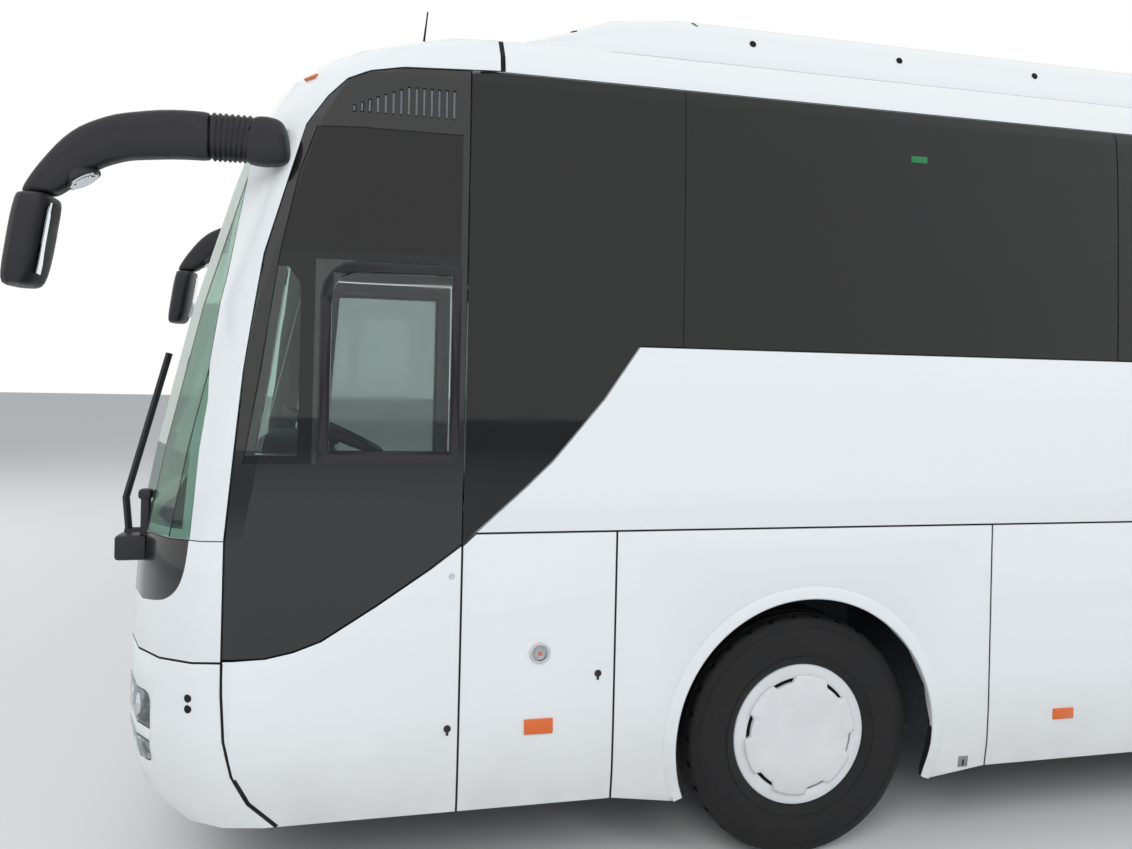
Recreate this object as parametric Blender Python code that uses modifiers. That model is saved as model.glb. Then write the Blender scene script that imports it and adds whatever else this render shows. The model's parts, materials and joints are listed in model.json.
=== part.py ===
"""A two-axle touring coach, in metres: +X to the front, +Y to the left, +Z up, the origin on the road under its middle.

Stations along the coach are measured from the front axle, forward positive, and the helpers add FRONT_AXLE_X.
"""
import math

import bmesh
import bpy
from mathutils import Matrix, Vector

# Overall sizes
FRONT_OVERHANG = 2.82
WHEELBASE = 6.06
REAR_OVERHANG = 3.12
HALF_WIDTH = 1.275
ROOF_HEIGHT = 3.52
COACH_HEIGHT = 3.81
MIRROR_AHEAD = 0.32
FRONT_AXLE_X = (WHEELBASE + REAR_OVERHANG - FRONT_OVERHANG - MIRROR_AHEAD) / 2
TAIL_END = WHEELBASE + REAR_OVERHANG

# Thicknesses, gaps and clearances
WALL = 0.060
PANEL = 0.036
GLASS = 0.008
SEAT_GAP = 0.0003
SEAM = 0.008
GLASS_SEAM = 0.006
ROOF_JOINT = 0.020
LAP = 0.030
LAP_FOOT = 1.300
SCREEN_RIM = 0.030
LID_RIM = 0.040
OVERRUN = 0.40
FLAT_ANGLE = 0.0006

# Heights on the side of the body
SKIRT_FOOT = 0.345
MASK_FOOT = 0.970
WAIST = 1.430
SCREEN_FOOT = 1.416
SILL = 1.700
WINDOW_FOOT = 2.176
RAIL_FOOT = 3.250
DOOR_HEAD = 2.620
SCREEN_HEAD = 3.020

# Seams along the side, as stations from the front axle
FLAP_FRONT = 2.356
FLAP_SPLIT = 1.485
ARCH_FRONT = 0.863
ARCH_REAR = -0.878
BAY_FLAP_LENGTH = 2.140
BAY_SPLIT = ARCH_REAR - BAY_FLAP_LENGTH
QUARTER_FRONT = BAY_SPLIT - BAY_FLAP_LENGTH
REAR_CAP_FRONT = -8.930
CAP_JOINT = 1.360
SWEEP_TOP = 0.782
WINDOW_PITCH = 2.130
FIRST_PANE_JOINT = 0.600

# The body's plan sections: share of roof height, of front overhang, of half width and of rear overhang
SECTION_SHARES = [
    (0.028, 0.930, 0.975, 0.975),
    (0.099, 0.958, 0.985, 0.985),
    (0.131, 0.988, 0.996, 0.995),
    (0.176, 0.999, 1.000, 1.000),
    (0.256, 1.000, 1.000, 1.000),
    (0.403, 0.991, 1.000, 1.000),
    (0.497, 0.970, 1.000, 0.997),
    (0.653, 0.926, 0.995, 0.987),
    (0.795, 0.874, 0.985, 0.971),
    (0.858, 0.848, 0.979, 0.961),
    (0.909, 0.812, 0.969, 0.945),
    (0.943, 0.759, 0.941, 0.920),
    (0.969, 0.674, 0.878, 0.872),
    (0.986, 0.550, 0.769, 0.801),
    (0.997, 0.355, 0.565, 0.673),
    (1.000, 0.106, 0.275, 0.481),
]
NOSE_DEPTH = 0.500
TAIL_DEPTH = 0.240
NOSE_ROUND = 0.5
TAIL_ROUND = 1 / 3
NOSE_TURNS = [90, 73, 57, 41, 25, 10, 0]
TAIL_TURNS = [0, 18, 50, 90]

# The sweep between white paint and black glass: share of the run from SWEEP_TOP to FLAP_FRONT, and of the rise
SWEEP_SHARES = [
    (1.000, 0.000),
    (0.904, 0.009),
    (0.842, 0.025),
    (0.778, 0.055),
    (0.650, 0.160),
    (0.523, 0.272),
    (0.448, 0.343),
    (0.411, 0.388),
    (0.294, 0.526),
    (0.224, 0.615),
    (0.093, 0.820),
    (0.000, 1.000),
]
SWEEP_AT_SPLIT = 6

# The bumper's side seam: share of the run back from FLAP_FRONT, and of the height from skirt foot to mask foot
BUMPER_SEAM_RUN = 0.202
BUMPER_SEAM_SHARES = [(0.000, 1.000), (0.005, 0.813), (0.060, 0.538), (0.215, 0.328), (0.510, 0.155), (1.000, 0.000)]

# The front pillar strip's rear edge and the roof cap's lower edge
STRIP_TOP_X = 2.182
STRIP_TOP_Z = 2.805
STRIP_SHARES = [(0.000, 0.000), (0.300, 0.450), (0.640, 0.770), (1.000, 1.000)]
CAP_EDGE_SHARES = [(0.000, 0.000), (0.105, 0.435), (0.200, 0.690), (0.318, 0.830), (0.489, 0.910), (1.000, 1.000)]
CAP_EDGE_FOOT = 2.985

# Side glass and the driver's window
PILLAR = 0.120
WINDOW_MARGIN = 0.070
PANE_GROOVE = 0.005
DRIVER_GLASS_REAR = 1.515
DRIVER_GLASS_HEAD = 2.975
SASH_FRONT = 2.030
SASH_HEAD = 2.462
SASH_ROUND = 0.130
SASH_DEPTH = 0.030
SASH_FRAME = 0.034
SASH_PANE = 0.006
LOUVRE_COUNT = 14
LOUVRE_FIRST = 1.545
LOUVRE_PITCH = 0.029
LOUVRE_SLOT = 0.013
LOUVRE_DEPTH = 0.012
LOUVRE_FOOT = 3.035
LOUVRE_HEAD = 3.150

# Windscreen
SCREEN_HALF = 1.218
SCREEN_SHARES = [(0.000, 1.000), (0.320, 0.970), (0.620, 0.909), (0.860, 0.837), (0.975, 0.780), (1.000, 0.700)]

# Wheels: 295/80 R22.5
TYRE_RADIUS = 0.518
TYRE_WIDTH = 0.292
TYRE_SHARES = [(0.120, 0.690), (0.420, 1.000), (0.780, 0.960), (1.000, 0.780)]
RIM_RADIUS = 0.2857
RIM_WIDTH = 0.210
RIM_FLANGE = 0.019
RIM_WALL = 0.010
WHEEL_TRACK_HALF = 1.078
TWIN_SPACING = 0.335
WHEEL_STEPS = 24
COVER_RADIUS = 0.302
COVER_PLATE = 0.232
COVER_RISE = 0.018
COVER_NOTCHES = 6
COVER_NOTCH_DEPTH = 0.022
HUB_RADIUS = 0.110
AXLE_HEIGHT = TYRE_RADIUS
ARCH_RADIUS = 0.602
ARCH_CENTRE = 0.532
ARCH_DIP = 0.035
HOUSING_HALF = 0.665
HOUSING_HEAD = 1.200
HOUSING_FOOT = 0.430
AXLE_SLOT_HALF = 0.150
AXLE_SLOT_HEAD = 0.680
HOUSING_INNER = 0.455
HOUSING_WALL = 0.025
REAR_HOUSING_INNER = 0.540
KINGPIN_Y = 0.960
STEER_LIMIT = 45

# Floor and underbody
FLOOR = 1.350
FLOOR_PLATE = 0.040
FLOOR_END = 0.070
DECK_SPLIT = -0.720
CAB_FLOOR = 1.050
CAB_RISER = 0.940
CAB_FRONT = 2.500
STEP_WELL_Y = -0.470
STEP_FOOT = 0.400
STEP_PLATE = 0.030
BAY_FLOOR = 0.380
BAY_PLATE = 0.030
RAIL_Y = 0.360
RAIL_WIDTH = 0.080
RAIL_TOP = 0.960
RAIL_DEPTH = 0.140
CROSS_WIDTH = 0.060

# Doors on the right
DOOR_FRONT = 2.290
DOOR_WIDTH = 0.950
DOOR_GAP = 0.016
DOOR_LEAF = 0.040
DOOR_GLASS_MARGIN = 0.090
DOOR_GLASS_FOOT = 1.000
MID_DOOR_WIDTH = 0.860
POST_RADIUS = 0.018
POST_BACK = 0.048
POST_IN = 0.145
ARM_REACH = 0.420
ARM_OUT = 0.045
ARM_BEND = 0.200
ARM_OPEN_TURN = 144
ARM_RADIUS = 0.014
ARM_FLAT = ARM_RADIUS * math.cos(math.pi / 6)
ARM_HEIGHTS = (0.700, 0.930)
POST_HEAD = 1.900
JAMB = 0.060
EAR = 0.030

SWEEP_WAIST = 1.436
WINDOW_COUNT = 5
WINDOW_ROUND = 0.060
MID_DOOR_FRONT = QUARTER_FRONT + MID_DOOR_WIDTH
DOORWAYS = {
    "front_door": (DOOR_FRONT, DOOR_FRONT - DOOR_WIDTH),
    "mid_door": (MID_DOOR_FRONT, QUARTER_FRONT),
}
LOUVRE_FALL = 0.012
LOUVRE_LEVEL = 6
DRIVER_GLASS_INSET = 0.060
DRIVER_TOP_RUN = 0.060

# Lamps, seen from the front
LAMP_INNER = 0.720
LAMP_OUTER = 1.115
LAMP_HEAD = 0.820
LAMP_FOOT = 0.690
FOG_HEAD = 0.640
FOG_FOOT = 0.560
LAMP_ROUND = 0.030
LAMP_BACK = 0.020

# Roof pod: share of its length, of its rise and of its half width; and its section's ring
POD_FRONT = 1.420
POD_LENGTH = 5.220
POD_HALF = 1.000
POD_FOOT = 3.400
POD_DEPTH = 0.460
POD_SHARES = [
    (0.000, 0.050, 0.900),
    (0.014, 0.330, 0.945),
    (0.058, 0.550, 0.975),
    (0.115, 0.865, 1.000),
    (0.178, 0.987, 1.000),
    (0.265, 1.000, 1.000),
    (0.800, 1.000, 1.000),
    (0.900, 0.865, 1.000),
    (0.955, 0.530, 0.975),
    (1.000, 0.050, 0.900),
]
POD_RING_SHARES = [(1.000, 0.050), (0.945, 0.530), (0.820, 0.765), (0.600, 0.910), (0.300, 0.982), (0.000, 1.000)]

# Rear
REAR_GLASS_HALF = 1.040
REAR_GLASS_FOOT = 2.200
REAR_GLASS_HEAD = 3.060
REAR_ROUND = 0.140
LID_HALF = 0.950
LID_FOOT = 0.640
LID_HEAD = 1.480
LID_ROUND = 0.060
GRILLE_BARS = 6
GRILLE_FOOT = 0.760
GRILLE_PITCH = 0.060
GRILLE_SLOT = 0.030
GRILLE_HALF = 0.700

# Knuckles and axles
PIN_GAP = 0.0006
RUNNING_GAP = 0.0006
KNUCKLE_RADIUS = 0.042
KNUCKLE_HEIGHT = 0.200
STUB_RADIUS = 0.045
BRAKE_RADIUS = 0.210
BRAKE_WIDTH = 0.040
BRAKE_OFFSET = 0.060
HUB_IN = 0.000
DISC_BACK = 0.085
REAR_DISC_FACE = 0.120
REAR_DISC_BACK = 0.160
REAR_HUB_OUT = 0.030
BEAM_DROP = 0.180
BEAM_HEIGHT = 0.090
BEAM_WIDTH = 0.090
ROD_WIDTH = 0.050
SPRING_RADIUS = 0.110
SPRING_SPREAD = 0.420
FRONT_SPRING_Y = 0.300
TUBE_RADIUS = 0.080
BANJO_RADIUS = 0.220
BANJO_LENGTH = 0.320

# Frame
BAY_WALL_BACK = 0.060
BAY_SIDE_GAP = 0.040
FRAME_REAR = -8.700
CROSS_STATIONS = (2.200, 1.000, -5.900, -7.100, -8.600)
CROSS_HALF = 0.400
HOUSING_SLOPE = 0.300
STEP_RISE = 0.220

# Dashboard, steering wheel, seats
DASH_REAR = 1.960
DASH_LENGTH = 0.660
DASH_FOOT = CAB_FLOOR + SEAT_GAP
DASH_HEAD = 1.700
DASH_SHARES = [(0.30, 0.00), (1.00, 0.00), (1.00, 0.62), (0.86, 0.90), (0.55, 1.00), (0.20, 0.92), (0.00, 0.72), (0.05, 0.62), (0.28, 0.58)]
STEERING_X = 2.010
STEERING_Y = 0.620
STEERING_Z = 1.780
STEERING_TILT = 24
STEERING_RADIUS = 0.225
STEERING_GRIP = 0.016
STEERING_RIM_SIDES = 6
STEERING_STEPS = 16
STEERING_BOSS = 0.060
STEERING_SPOKES = (30, 150, 270)
SPOKE_WIDTH = 0.040
COLUMN_GAP = STEERING_GRIP + SEAT_GAP
COLUMN_LENGTH = 0.260
COLUMN_RADIUS = 0.035
SEAT_WIDTH = 0.440
SEAT_LENGTH = 0.560
SEAT_HEIGHT = 0.860
SEAT_LEG = 0.240
SEAT_SHARES = [(0.00, 0.08), (0.04, 0.24), (0.72, 0.22), (0.79, 0.97), (0.96, 1.00), (1.00, 0.92), (0.90, 0.00)]
RECLINE = 0.090
DRIVER_Y = 0.640
DRIVER_SEAT_X = 1.720
PEDESTAL = 0.320
AISLE_HALF = 0.270
SEAT_FIRST = 0.560
SEAT_PITCH = 0.780
SEAT_ROWS = 12
SEAT_LAST = -8.100
RAIL_PLATE = 0.025
ENGINE_FRONT = -7.250
ENGINE_LENGTH = 1.250
ENGINE_WIDTH = 0.620
ENGINE_FOOT = 0.440
ENGINE_DEPTH = 0.780
ENGINE_MOUNT_Z = 0.900

# Mirrors: share of the reach, of the drop, of the arm's height and width, and its lean
MIRROR_BASE = 2.060
MIRROR_REACH = 0.953
MIRROR_HEIGHT = 2.908
MIRROR_DROP = 0.252
MIRROR_Y = 1.200
MIRROR_TALL = 0.176
MIRROR_WIDE = 0.110
MIRROR_ARM = [
    (0.000, 0.000, 1.000, 0.900, 0),
    (0.400, 0.000, 1.000, 1.000, 0),
    (0.580, 0.025, 1.000, 1.000, 4),
    (0.720, 0.105, 0.940, 1.000, 14),
    (0.825, 0.270, 0.880, 1.000, 28),
    (0.910, 0.580, 0.780, 1.000, 50),
    (0.978, 0.880, 0.660, 1.000, 76),
    (1.000, 1.000, 0.640, 1.000, 90),
]
MIRROR_HEAD_TALL = 0.340
MIRROR_HEAD_LONG = 0.112
MIRROR_HEAD_WIDE = 0.250
MIRROR_HEAD = [
    (-0.040, 0.00, 0.80, 0.60),
    (0.060, 0.00, 1.00, 0.92),
    (0.500, 0.20, 1.02, 1.00),
    (0.880, 0.42, 0.98, 0.96),
    (1.000, 0.50, 0.70, 0.80),
]
OVAL = 0.60

# Wipers
WIPER_Y = 0.900
WIPER_X = 2.735
WIPER_BOSS = 0.024
WIPER_BOSS_LENGTH = 0.100
WIPER_SLANT = 0.060
WIPER_DROP = 0.030
WIPER_RADIUS = 0.014
WIPER_LENGTH = 0.720
WIPER_LEAN = 0.120

COACH = "coach"
bits = {}


def clear_scene():
    for obj in list(bpy.data.objects):
        bpy.data.objects.remove(obj, do_unlink=True)


def collection(name):
    made = bpy.data.collections.new(name)
    bpy.context.scene.collection.children.link(made)
    return made


def finish(name, hexed, roughness, metallic=0.0, alpha=1.0):
    """A plain Principled material."""
    made = bpy.data.materials.new(name)
    made.use_nodes = True
    shader = made.node_tree.nodes["Principled BSDF"]
    parts = [int(hexed[i : i + 2], 16) / 255 for i in (0, 2, 4)]
    linear = [p / 12.92 if p <= 0.04045 else ((p + 0.055) / 1.055) ** 2.4 for p in parts]
    shader.inputs["Base Color"].default_value = (*linear, 1)
    shader.inputs["Roughness"].default_value = roughness
    shader.inputs["Metallic"].default_value = metallic
    shader.inputs["Alpha"].default_value = alpha
    made.diffuse_color = (*linear, 1)
    return made


def keep(name, mesh, helper=False):
    """A new object for this mesh, in the coach's collection or, for a cutter, the other one."""
    obj = bpy.data.objects.new(name, mesh)
    bits["cutters" if helper else "parts"].objects.link(obj)
    if helper:
        obj.hide_render = True
        obj.display_type = "WIRE"
    return obj


def paint(obj, material):
    obj.data.materials.clear()
    obj.data.materials.append(material)
    return obj


def from_bmesh(name, bm, helper=False):
    bmesh.ops.recalc_face_normals(bm, faces=bm.faces)
    mesh = bpy.data.meshes.new(name)
    bm.to_mesh(mesh)
    bm.free()
    return keep(name, mesh, helper)


def add_box(bm, low, high):
    """A box between two corners; x is a station from the front axle."""
    size = [b - a for a, b in zip(low, high)]
    middle = [(a + b) / 2 for a, b in zip(low, high)]
    place = Matrix.Translation((middle[0] + FRONT_AXLE_X, middle[1], middle[2])) @ Matrix.Diagonal((*size, 1))
    bmesh.ops.create_cube(bm, size=1, matrix=place)


def box(name, low, high, helper=False):
    bm = bmesh.new()
    add_box(bm, low, high)
    return from_bmesh(name, bm, helper)


def cylinder(name, centre, radius, length, axis, helper=False, sides=16, far_radius=None):
    """A round bar about its centre, lying along X, Y or Z."""
    turn = {"X": Matrix.Rotation(math.pi / 2, 4, "Y"), "Y": Matrix.Rotation(-math.pi / 2, 4, "X"), "Z": Matrix()}
    place = Matrix.Translation((centre[0] + FRONT_AXLE_X, centre[1], centre[2])) @ turn[axis]
    bm = bmesh.new()
    far = radius if far_radius is None else far_radius
    bmesh.ops.create_cone(
        bm, cap_ends=True, segments=sides, radius1=radius, radius2=far, depth=length, matrix=place
    )
    return from_bmesh(name, bm, helper)


def to_mesh(curve_object, name, helper=False):
    """The curve's own shape as a closed mesh; the curve is removed."""
    graph = bpy.context.evaluated_depsgraph_get()
    mesh = bpy.data.meshes.new_from_object(curve_object.evaluated_get(graph))
    mesh.transform(curve_object.matrix_world)
    bpy.data.objects.remove(curve_object, do_unlink=True)
    bm = bmesh.new()
    bm.from_mesh(mesh)
    bmesh.ops.remove_doubles(bm, verts=bm.verts, dist=SEAT_GAP / 10)
    bpy.data.meshes.remove(mesh)
    return from_bmesh(name, bm, helper)


def prism(name, outline, low, high, plane="XZ", helper=True):
    """A flat outline drawn out between two levels; stations are shifted to the coach's frame."""
    curve = bpy.data.curves.new(name, "CURVE")
    curve.dimensions = "2D"
    curve.fill_mode = "BOTH"
    curve.extrude = (high - low) / 2
    spline = curve.splines.new("POLY")
    spline.points.add(len(outline) - 1)
    for point, (a, b) in zip(spline.points, outline):
        point.co = (a, b, 0, 1)
    spline.use_cyclic_u = True
    obj = bpy.data.objects.new(name, curve)
    bits["cutters"].objects.link(obj)
    middle = (low + high) / 2
    if plane == "XZ":
        obj.matrix_world = Matrix.Translation((FRONT_AXLE_X, middle, 0)) @ Matrix.Rotation(math.pi / 2, 4, "X")
    elif plane == "YZ":
        turn = Matrix(((0, 0, 1, 0), (1, 0, 0, 0), (0, 1, 0, 0), (0, 0, 0, 1)))
        obj.matrix_world = Matrix.Translation((FRONT_AXLE_X + middle, 0, 0)) @ turn
    else:
        obj.matrix_world = Matrix.Translation((FRONT_AXLE_X, 0, middle))
    bpy.context.view_layer.update()
    return to_mesh(obj, name, helper)


def turned(name, profile, centre, steps=WHEEL_STEPS, helper=False):
    """A profile of (radius, offset along Y), turned about the Y axis through its centre."""
    bm = bmesh.new()
    ring = [bm.verts.new((0, offset, radius)) for radius, offset in profile]
    for a, b in zip(ring, ring[1:]):
        bm.edges.new((a, b))
    if profile[0][0] > 0:
        bm.edges.new((ring[-1], ring[0]))
    mesh = bpy.data.meshes.new(name)
    bm.to_mesh(mesh)
    bm.free()
    obj = keep(name, mesh, helper=True)
    screw = obj.modifiers.new("turn", "SCREW")
    screw.axis = "Y"
    screw.steps = screw.render_steps = steps
    screw.use_merge_vertices = True
    screw.merge_threshold = SEAT_GAP / 10
    obj.location = (centre[0] + FRONT_AXLE_X, centre[1], centre[2])
    bpy.context.view_layer.update()
    return to_mesh(obj, name, helper)


def tube(name, points, radius, helper=False, resolution=1):
    """A round tube along straight runs between points."""
    curve = bpy.data.curves.new(name, "CURVE")
    curve.dimensions = "3D"
    curve.bevel_depth = radius
    curve.bevel_resolution = resolution
    curve.use_fill_caps = True
    spline = curve.splines.new("POLY")
    spline.points.add(len(points) - 1)
    for point, (x, y, z) in zip(spline.points, points):
        point.co = (x + FRONT_AXLE_X, y, z, 1)
    obj = bpy.data.objects.new(name, curve)
    bits["cutters"].objects.link(obj)
    bpy.context.view_layer.update()
    return to_mesh(obj, name, helper)


def loft(name, rings, helper=False):
    """A skin over closed rings with the same count of points, capped at both ends."""
    bm = bmesh.new()
    made = [[bm.verts.new((x + FRONT_AXLE_X, y, z)) for x, y, z in ring] for ring in rings]
    count = len(made[0])
    for low, high in zip(made, made[1:]):
        for i in range(count):
            j = (i + 1) % count
            bm.faces.new((low[i], low[j], high[j], high[i]))
    bm.faces.new(made[0])
    bm.faces.new(made[-1])
    return from_bmesh(name, bm, helper)


def shape(obj, operation, other):
    """One exact Boolean with a cutter that stays in the cutters' collection."""
    step = obj.modifiers.new(other.name, "BOOLEAN")
    step.operation = operation
    step.object = other
    step.solver = "EXACT"
    return obj


def cut(obj, *others):
    for other in others:
        shape(obj, "DIFFERENCE", other)
    return obj


def join(obj, *others):
    for other in others:
        shape(obj, "UNION", other)
    return obj


def bake(obj):
    """Applies the object's modifiers, so that later pieces can be cut by its final form."""
    graph = bpy.context.evaluated_depsgraph_get()
    mesh = bpy.data.meshes.new_from_object(obj.evaluated_get(graph))
    bm = bmesh.new()
    bm.from_mesh(mesh)
    bmesh.ops.dissolve_degenerate(bm, dist=SEAT_GAP, edges=bm.edges)
    bmesh.ops.dissolve_limit(bm, angle_limit=FLAT_ANGLE, verts=bm.verts, edges=bm.edges)
    bm.to_mesh(mesh)
    bm.free()
    obj.modifiers.clear()
    obj.data = mesh
    return obj


def pivot(obj, point):
    """Moves the object's origin to a point on its joint's axis, its shape staying where it is."""
    shift = Vector((point[0] + FRONT_AXLE_X, point[1], point[2]))
    obj.data.transform(Matrix.Translation(-shift))
    obj.location = shift
    return obj


# The body's skin


def half_ring(nose, half, tail):
    """Half of a plan section, from the nose's middle round the left side to the tail's middle."""
    points = []
    for turn in reversed(NOSE_TURNS):
        angle = math.radians(turn)
        points.append((nose - NOSE_DEPTH * (1 - math.cos(angle)), half * math.sin(angle) ** NOSE_ROUND))
    for turn in reversed(TAIL_TURNS):
        angle = math.radians(turn)
        points.append((tail + TAIL_DEPTH * (1 - math.cos(angle)), half * math.sin(angle) ** TAIL_ROUND))
    return points


def skin(name, depth):
    """The body's outer form, moved inwards by a depth (outwards where it is negative)."""
    rings = []
    for height, nose, half, tail in SECTION_SHARES:
        left = half_ring(nose * FRONT_OVERHANG, half * HALF_WIDTH, -WHEELBASE - tail * REAR_OVERHANG)
        right = [(x, -y) for x, y in reversed(left[1:-1])]
        rings.append([(x, y, height * ROOF_HEIGHT) for x, y in left + right])
    obj = loft(name, rings, helper=True)
    bm = bmesh.new()
    bm.from_mesh(obj.data)
    bmesh.ops.triangulate(bm, faces=bm.faces, quad_method="FIXED", ngon_method="EAR_CLIP")
    bm.normal_update()
    moves = [vert.normal * vert.calc_shell_factor() * depth for vert in bm.verts]
    for vert, move in zip(bm.verts, moves):
        vert.co -= move
    bm.to_mesh(obj.data)
    bm.free()
    return obj


def skin_at(depth):
    """The skin at this depth, made once."""
    name = f"skin_{round(depth * 10000)}"
    if name not in bits:
        bits[name] = skin(name, depth)
    return bits[name]


def shell(name, outline, low, high, thickness, plane="XZ"):
    """A stretch of the body's wall: an outline drawn across the body, kept between two skins."""
    obj = prism(name, outline, low, high, plane, helper=False)
    shape(obj, "INTERSECT", skin_at(0))
    cut(obj, skin_at(thickness))
    return obj


def pocket(name, outline, low, high, depth, plane="XZ"):
    """A cutter that takes the outer layer of the wall, down to a depth."""
    obj = prism(name, outline, low, high, plane)
    cut(obj, skin_at(depth))
    return obj


def side_span(side):
    """How far a side's outlines are drawn out, on the left (1) or the right (-1)."""
    inner = HALF_WIDTH - OVERRUN
    outer = HALF_WIDTH + OVERRUN
    return (inner, outer) if side > 0 else (-outer, -inner)


# Outlines on the side, as (station, height)


def sweep(shift, first=0, last=None):
    """The sweep's points from the front foot up, moved by a shift towards the glass."""
    run = FLAP_FRONT - SWEEP_TOP
    rise = WINDOW_FOOT - MASK_FOOT
    each = shift * math.sqrt(0.5)
    points = [(SWEEP_TOP + run * a + each, MASK_FOOT + rise * b + each) for a, b in SWEEP_SHARES]
    return points[first:last]


def level_at(points, x):
    """The height at a station on a line of points that runs from the front back."""
    for (x1, z1), (x2, z2) in zip(points, points[1:]):
        if x2 <= x <= x1:
            return z1 + (z2 - z1) * (x1 - x) / (x1 - x2)
    return points[-1][1]


def split_height(shift):
    """Where the sweep passes the seam between the two service flaps."""
    return level_at(sweep(shift), FLAP_SPLIT)


def bumper_seam(shift):
    height = MASK_FOOT - SKIRT_FOOT
    return [
        (FLAP_FRONT - BUMPER_SEAM_RUN * a + shift, SKIRT_FOOT + height * b) for a, b in BUMPER_SEAM_SHARES
    ]


def strip_edge(shift):
    """The rear edge of the front pillar's white strip, from the mask up."""
    run = FLAP_FRONT - STRIP_TOP_X
    rise = STRIP_TOP_Z - SCREEN_FOOT
    return [(FLAP_FRONT + shift - run * a, SCREEN_FOOT + rise * b) for a, b in STRIP_SHARES]


def cap_edge(shift):
    """The roof cap's lower edge, from the pillar strip back to the roof joint."""
    front = STRIP_TOP_X - (STRIP_TOP_X - CAP_JOINT) * 0.09
    run = front - CAP_JOINT
    rise = RAIL_FOOT - CAP_EDGE_FOOT
    return [(front - run * a, CAP_EDGE_FOOT + rise * b + shift) for a, b in CAP_EDGE_SHARES]


def rounded(low, high, radius, corners=(1, 1, 1, 1), steps=4):
    """A rectangle's outline with chosen corners rounded: low-low, high-low, high-high, low-high."""
    centres = [
        (low[0] + radius, low[1] + radius, 180),
        (high[0] - radius, low[1] + radius, 270),
        (high[0] - radius, high[1] - radius, 0),
        (low[0] + radius, high[1] - radius, 90),
    ]
    sharp = [low, (high[0], low[1]), high, (low[0], high[1])]
    points = []
    for chosen, (a, b, start), corner in zip(corners, centres, sharp):
        if not chosen:
            points.append(corner)
            continue
        for i in range(steps + 1):
            angle = math.radians(start + 90 * i / steps)
            points.append((a + radius * math.cos(angle), b + radius * math.sin(angle)))
    return points


def arch(centre, radius, steps=12):
    """A wheel arch's opening from its rear foot over the top to its front foot."""
    foot = math.asin((ARCH_CENTRE - SKIRT_FOOT) / radius)
    points = []
    for i in range(steps + 1):
        angle = math.pi + foot - (math.pi + 2 * foot) * i / steps
        points.append((centre + radius * math.cos(angle), ARCH_CENTRE + radius * math.sin(angle)))
    return points


def side_glass_outline(side, grow=0.0):
    """The flush glass band; on the left it runs down the sweep, on the right it passes over the mid door."""
    half = GLASS_SEAM / 2 - grow
    rear = REAR_CAP_FRONT + half
    head = RAIL_FOOT - SEAM / 2 - half
    foot = WINDOW_FOOT + half
    if side > 0:
        front = FLAP_SPLIT - half
        drop = list(reversed(sweep(half, SWEEP_AT_SPLIT + 1)))
        corner = (front, level_at(cap_edge(-SEAM - half), front))
        return [(rear, head), (rear, foot)] + drop + [(front, split_height(half)), corner, (CAP_JOINT - ROOF_JOINT, head)]
    front = DOOR_FRONT - DOOR_WIDTH - PANEL - half
    header = DOOR_HEAD + PANEL + half
    mid_rear = QUARTER_FRONT - half
    mid_front = MID_DOOR_FRONT + PANEL + half
    return [
        (rear, head),
        (rear, foot),
        (mid_rear, foot),
        (mid_rear, header),
        (mid_front, header),
        (mid_front, foot),
        (front, foot),
        (front, head),
    ]


def doorway(which, shrink):
    """A door's outline, drawn in by a gap; the front door's front edge follows the pillar strip."""
    front, rear = DOORWAYS[which]
    head = DOOR_HEAD + DOOR_GAP - shrink
    outline = [(rear + shrink, SKIRT_FOOT - DOOR_GAP + shrink), (front - shrink, SKIRT_FOOT - DOOR_GAP + shrink)]
    if which == "front_door":
        edge = [(x - JAMB - shrink, z) for x, z in strip_edge(0) if x - JAMB < front]
        lean = (edge[-1][0] - edge[-2][0]) / (edge[-1][1] - edge[-2][1])
        edge = [(x, z) for x, z in edge if z < head]
        top = edge[-1][0] + lean * (head - edge[-1][1])
        start = (front - shrink, SCREEN_FOOT - JAMB)
        return outline + [start] + edge + [(top, head), (rear + shrink, head)]
    return outline + [(front - shrink, head), (rear + shrink, head)]


def window_openings(side):
    """The holes in the wall behind the glass: (front, rear, foot) of each."""
    joints = [FIRST_PANE_JOINT - WINDOW_PITCH * i for i in range(WINDOW_COUNT)]
    front = FLAP_SPLIT - WINDOW_MARGIN if side > 0 else DOOR_FRONT - DOOR_WIDTH - PANEL - WINDOW_MARGIN
    fronts = [front] + [joint - PILLAR / 2 for joint in joints]
    rears = [joint + PILLAR / 2 for joint in joints] + [REAR_CAP_FRONT + WINDOW_MARGIN]
    foot = WINDOW_FOOT + WINDOW_MARGIN
    holes = []
    for a, b in zip(fronts, rears):
        low = foot
        if side < 0 and b < MID_DOOR_FRONT + PANEL and a > QUARTER_FRONT:
            low = DOOR_HEAD + PANEL + WINDOW_MARGIN
        holes.append((a, b, low))
    return holes


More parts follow.
